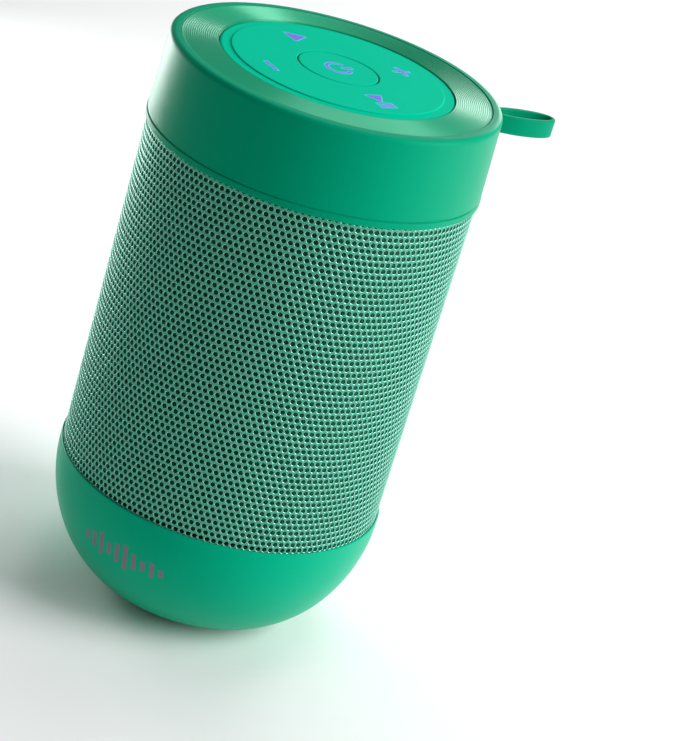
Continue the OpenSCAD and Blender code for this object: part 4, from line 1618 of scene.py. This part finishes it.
@dataclass
class Suspension:
    """Surround and spider of the driver, in gores between the housing and the cone.

    Attributes:
        gores: Number of gores in each ring.
        roll_r: Radius of the surround's roll outside.
        rubber: Thickness of the surround.
        foot: Width of the surround's inner foot under the cone's edge, and of its outer foot.
        foot_t: Thickness of the inner foot.
        spider_w: Width of the spider from the coil to the basket.
        waves: Number of the spider's waves.
        cloth: Thickness of the spider.
        held: Share of the inner and of the outer radius, for where a ring would bend; not used.
    """

    gores: int = 12
    roll_r: float = 1.5
    rubber: float = 0.4
    foot: float = 0.9
    foot_t: float = 0.25
    spider_w: float = 6.5
    waves: int = 3
    cloth: float = 0.35
    held: tuple[float, float] = (1.1, 0.9)

    def surround(self) -> list[Vector]:
        """Section of the surround: the inner foot, the roll and the outer foot.

        Returns:
            Its corners.
        """
        ring, edge = extent("driver_surround"), extent("driver_cone").high.x
        middle = Vector((edge + self.roll_r + 0.1, 0, ring.top - self.roll_r))

        def roll(radius: float, angles: range) -> list[Vector]:
            """Points of the roll's arc, at angles in degrees."""
            return [middle + radius * Vector((math.cos(math.radians(a)), 0, math.sin(math.radians(a))))
                    for a in angles]

        seat, out, bottom = middle.z + 0.3, ring.high.x, ring.bottom
        return [Vector((out, 0, seat)), Vector((out, 0, seat + self.rubber)),
                Vector((out - self.foot, 0, seat + self.rubber)), *roll(self.roll_r, range(30, 171, 20)),
                Vector((edge - self.foot, 0, bottom + self.foot_t)), Vector((edge - self.foot, 0, bottom)),
                Vector((edge + 0.45, 0, bottom)), *roll(self.roll_r - self.rubber, range(165, 34, -16)),
                Vector((out - 1.2, 0, seat))]

    def spider(self) -> list[Vector]:
        """Section of the spider: waves from the coil out to the basket.

        Returns:
            Its corners.
        """
        ring = extent("driver_spider")
        height = (ring.top - ring.bottom - self.cloth) / 2
        steps = 8 * self.waves
        line = [Vector((ring.high.x - self.spider_w * (1 - i / steps), 0,
                        ring.bottom + height * (1 + math.sin(math.tau * self.waves * i / steps))))
                for i in range(steps + 1)]
        return [point + Vector((0, 0, self.cloth)) for point in line] + line[::-1]

    def ring(self, node: str, section: Sequence[Vector]) -> None:
        """Builds one ring in gores, each spun over its own arc.

        Args:
            node: CAD node that it stands for.
            section: Its closed section.
        """
        slot = next(row["material_slot"] for row in frame["record"]["subparts"] if row["node"] == node)
        arc, height = 360 / self.gores, extent(node).middle.z
        for index in range(self.gores):
            shape = bmesh.new()
            face = shape.faces.new([shape.verts.new(p) for p in section])
            bmesh.ops.spin(shape, geom=[face, *face.edges, *face.verts], cent=(0, 0, 0), axis=(0, 0, 1),
                           angle=math.radians(arc), steps=6)
            bmesh.ops.recalc_face_normals(shape, faces=shape.faces)
            gore = publish(moved(shape, turn=index * arc), f"{node}_gore_{index + 1:02d}", "", FINISH_OF_SLOT[slot],
                           [node])
            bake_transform(gore)

    def build(self) -> None:
        """Builds both rings."""
        self.ring("driver_surround", self.surround())
        self.ring("driver_spider", self.spider())


def dress_carried_nodes() -> None:
    """Gives every CAD node that still shows the finish of its slot."""
    for row in frame["record"]["subparts"]:
        node = frame["nodes"][row["node"]]
        if node.hide_render:
            continue
        finish = FINISH_OF_SLOT[row["material_slot"]].material()
        for slot in node.material_slots:
            slot.link = "OBJECT"
            slot.material = finish
        LOG.info("%s wears %s", node.name, finish.name)


# ---- Studio ----


@dataclass(frozen=True)
class Softbox:
    """Soft rectangular light that faces the speaker.

    Attributes:
        name: Its name.
        azimuth: Direction from the speaker.
        elevation: Angle above the floor.
        distance: Distance from the speaker's middle, in metres.
        size: Width and height in metres.
        power: Power in watts.
    """

    name: str
    azimuth: float
    elevation: float
    distance: float
    size: tuple[float, float]
    power: float

    def build(self, middle: Vector) -> None:
        """Hangs the light.

        Args:
            middle: Point that it faces.
        """
        light = bpy.data.lights.new(self.name, "AREA")
        light.shape = "RECTANGLE"
        light.size, light.size_y = self.size
        light.energy = self.power
        lamp = bpy.data.objects.new(self.name, light)
        bpy.context.scene.collection.objects.link(lamp)
        a, e = math.radians(self.azimuth), math.radians(self.elevation)
        away = Vector((math.cos(a) * math.cos(e), math.sin(a) * math.cos(e), math.sin(e)))
        lamp.location = middle + away * self.distance
        lamp.rotation_euler = (-away).to_track_quat("-Z", "Y").to_euler()


@dataclass
class Studio:
    """Pale floor, soft lights and the camera.

    Attributes:
        azimuth: Turn of the view from +Y towards -X.
        elevation: Angle of the view above the floor.
        roll: Turn of the camera about its view.
        distance: Distance from the rim's middle along the view, in metres.
        shift: The camera's place beside and above the rim's middle, in metres.
        lens: Focal length on a 36 mm sensor.
        ambient: Strength of the room's light.
        room: Colour of the room's light.
        floor_half: Half the floor's side, in metres.
        softboxes: The lights.
    """

    azimuth: float = 61.5
    elevation: float = 23.87
    roll: float = 17.13
    distance: float = 0.5134
    shift: tuple[float, float] = (0.00017, -0.0584)
    lens: float = 129.19
    ambient: float = 0.2
    room: str = "#F6FAFA"
    floor_half: float = 3.0
    softboxes: tuple[Softbox, ...] = (
        Softbox("key_softbox", 55, 28, 0.95, (0.55, 0.8), 11.0),
        Softbox("rim_softbox", -163, 0, 0.32, (0.14, 0.11), 0.6),
        Softbox("wedge_softbox", 138, 10, 0.9, (0.3, 0.25), 1.9),
        Softbox("top_softbox", 135, 66, 1.0, (0.6, 0.6), 3.2),
    )

    def camera(self) -> None:
        """Places the camera."""
        a, e, roll = (math.radians(x) for x in (self.azimuth, self.elevation, self.roll))
        forward = Vector((-math.sin(a) * math.cos(e), math.cos(a) * math.cos(e), -math.sin(e)))
        level = Vector((math.cos(a), math.sin(a), 0))
        upright = level.cross(forward)
        right = math.cos(roll) * level + math.sin(roll) * upright
        up = -math.sin(roll) * level + math.cos(roll) * upright
        rim = Vector((0, 0, extent("top_cap").top * MM))
        place = rim + self.shift[0] * right + self.shift[1] * up - self.distance * forward
        data = bpy.data.cameras.new("studio_camera")
        data.lens, data.sensor_width = self.lens, 36
        data.clip_start, data.clip_end = 0.01, 20
        camera = bpy.data.objects.new("studio_camera", data)
        bpy.context.scene.collection.objects.link(camera)
        camera.matrix_world = Matrix((right, up, -forward)).transposed().to_4x4()
        camera.location = place
        bpy.context.scene.camera = camera

    def floor(self) -> None:
        """Lays the floor."""
        shape = bmesh.new()
        bmesh.ops.create_grid(shape, x_segments=4, y_segments=4, size=self.floor_half)
        mesh = bpy.data.meshes.new("studio_floor")
        shape.to_mesh(mesh)
        shape.free()
        mesh.materials.append(FLOOR_PAINT.material())
        floor = bpy.data.objects.new("studio_floor", mesh)
        floor.location.z = FRAME_BOX[0].z
        bpy.context.scene.collection.objects.link(floor)

    def build(self) -> None:
        """Builds the studio."""
        scene = bpy.context.scene
        scene.view_settings.view_transform = "Standard"
        world = bpy.data.worlds.new("studio_room")
        world.use_nodes = True
        background = world.node_tree.nodes["Background"]
        background.inputs["Color"].default_value = linear(self.room)
        background.inputs["Strength"].default_value = self.ambient
        scene.world = world
        middle = (FRAME_BOX[0] + FRAME_BOX[1]) / 2
        for softbox in self.softboxes:
            softbox.build(middle)
        self.floor()
        self.camera()


def main() -> None:
    """Builds the speaker's looks and the studio in order."""
    logging.basicConfig(level=logging.INFO, format="%(message)s")
    Studio().build()
    for part in (TopCap(), Controls(), LanyardLoop(), ChargingPort(), Sleeve(), BottomCap(), Suspension()):
        LOG.info("%s", type(part).__name__)
        part.build()
    dress_carried_nodes()


if __name__ == "__main__":
    main()
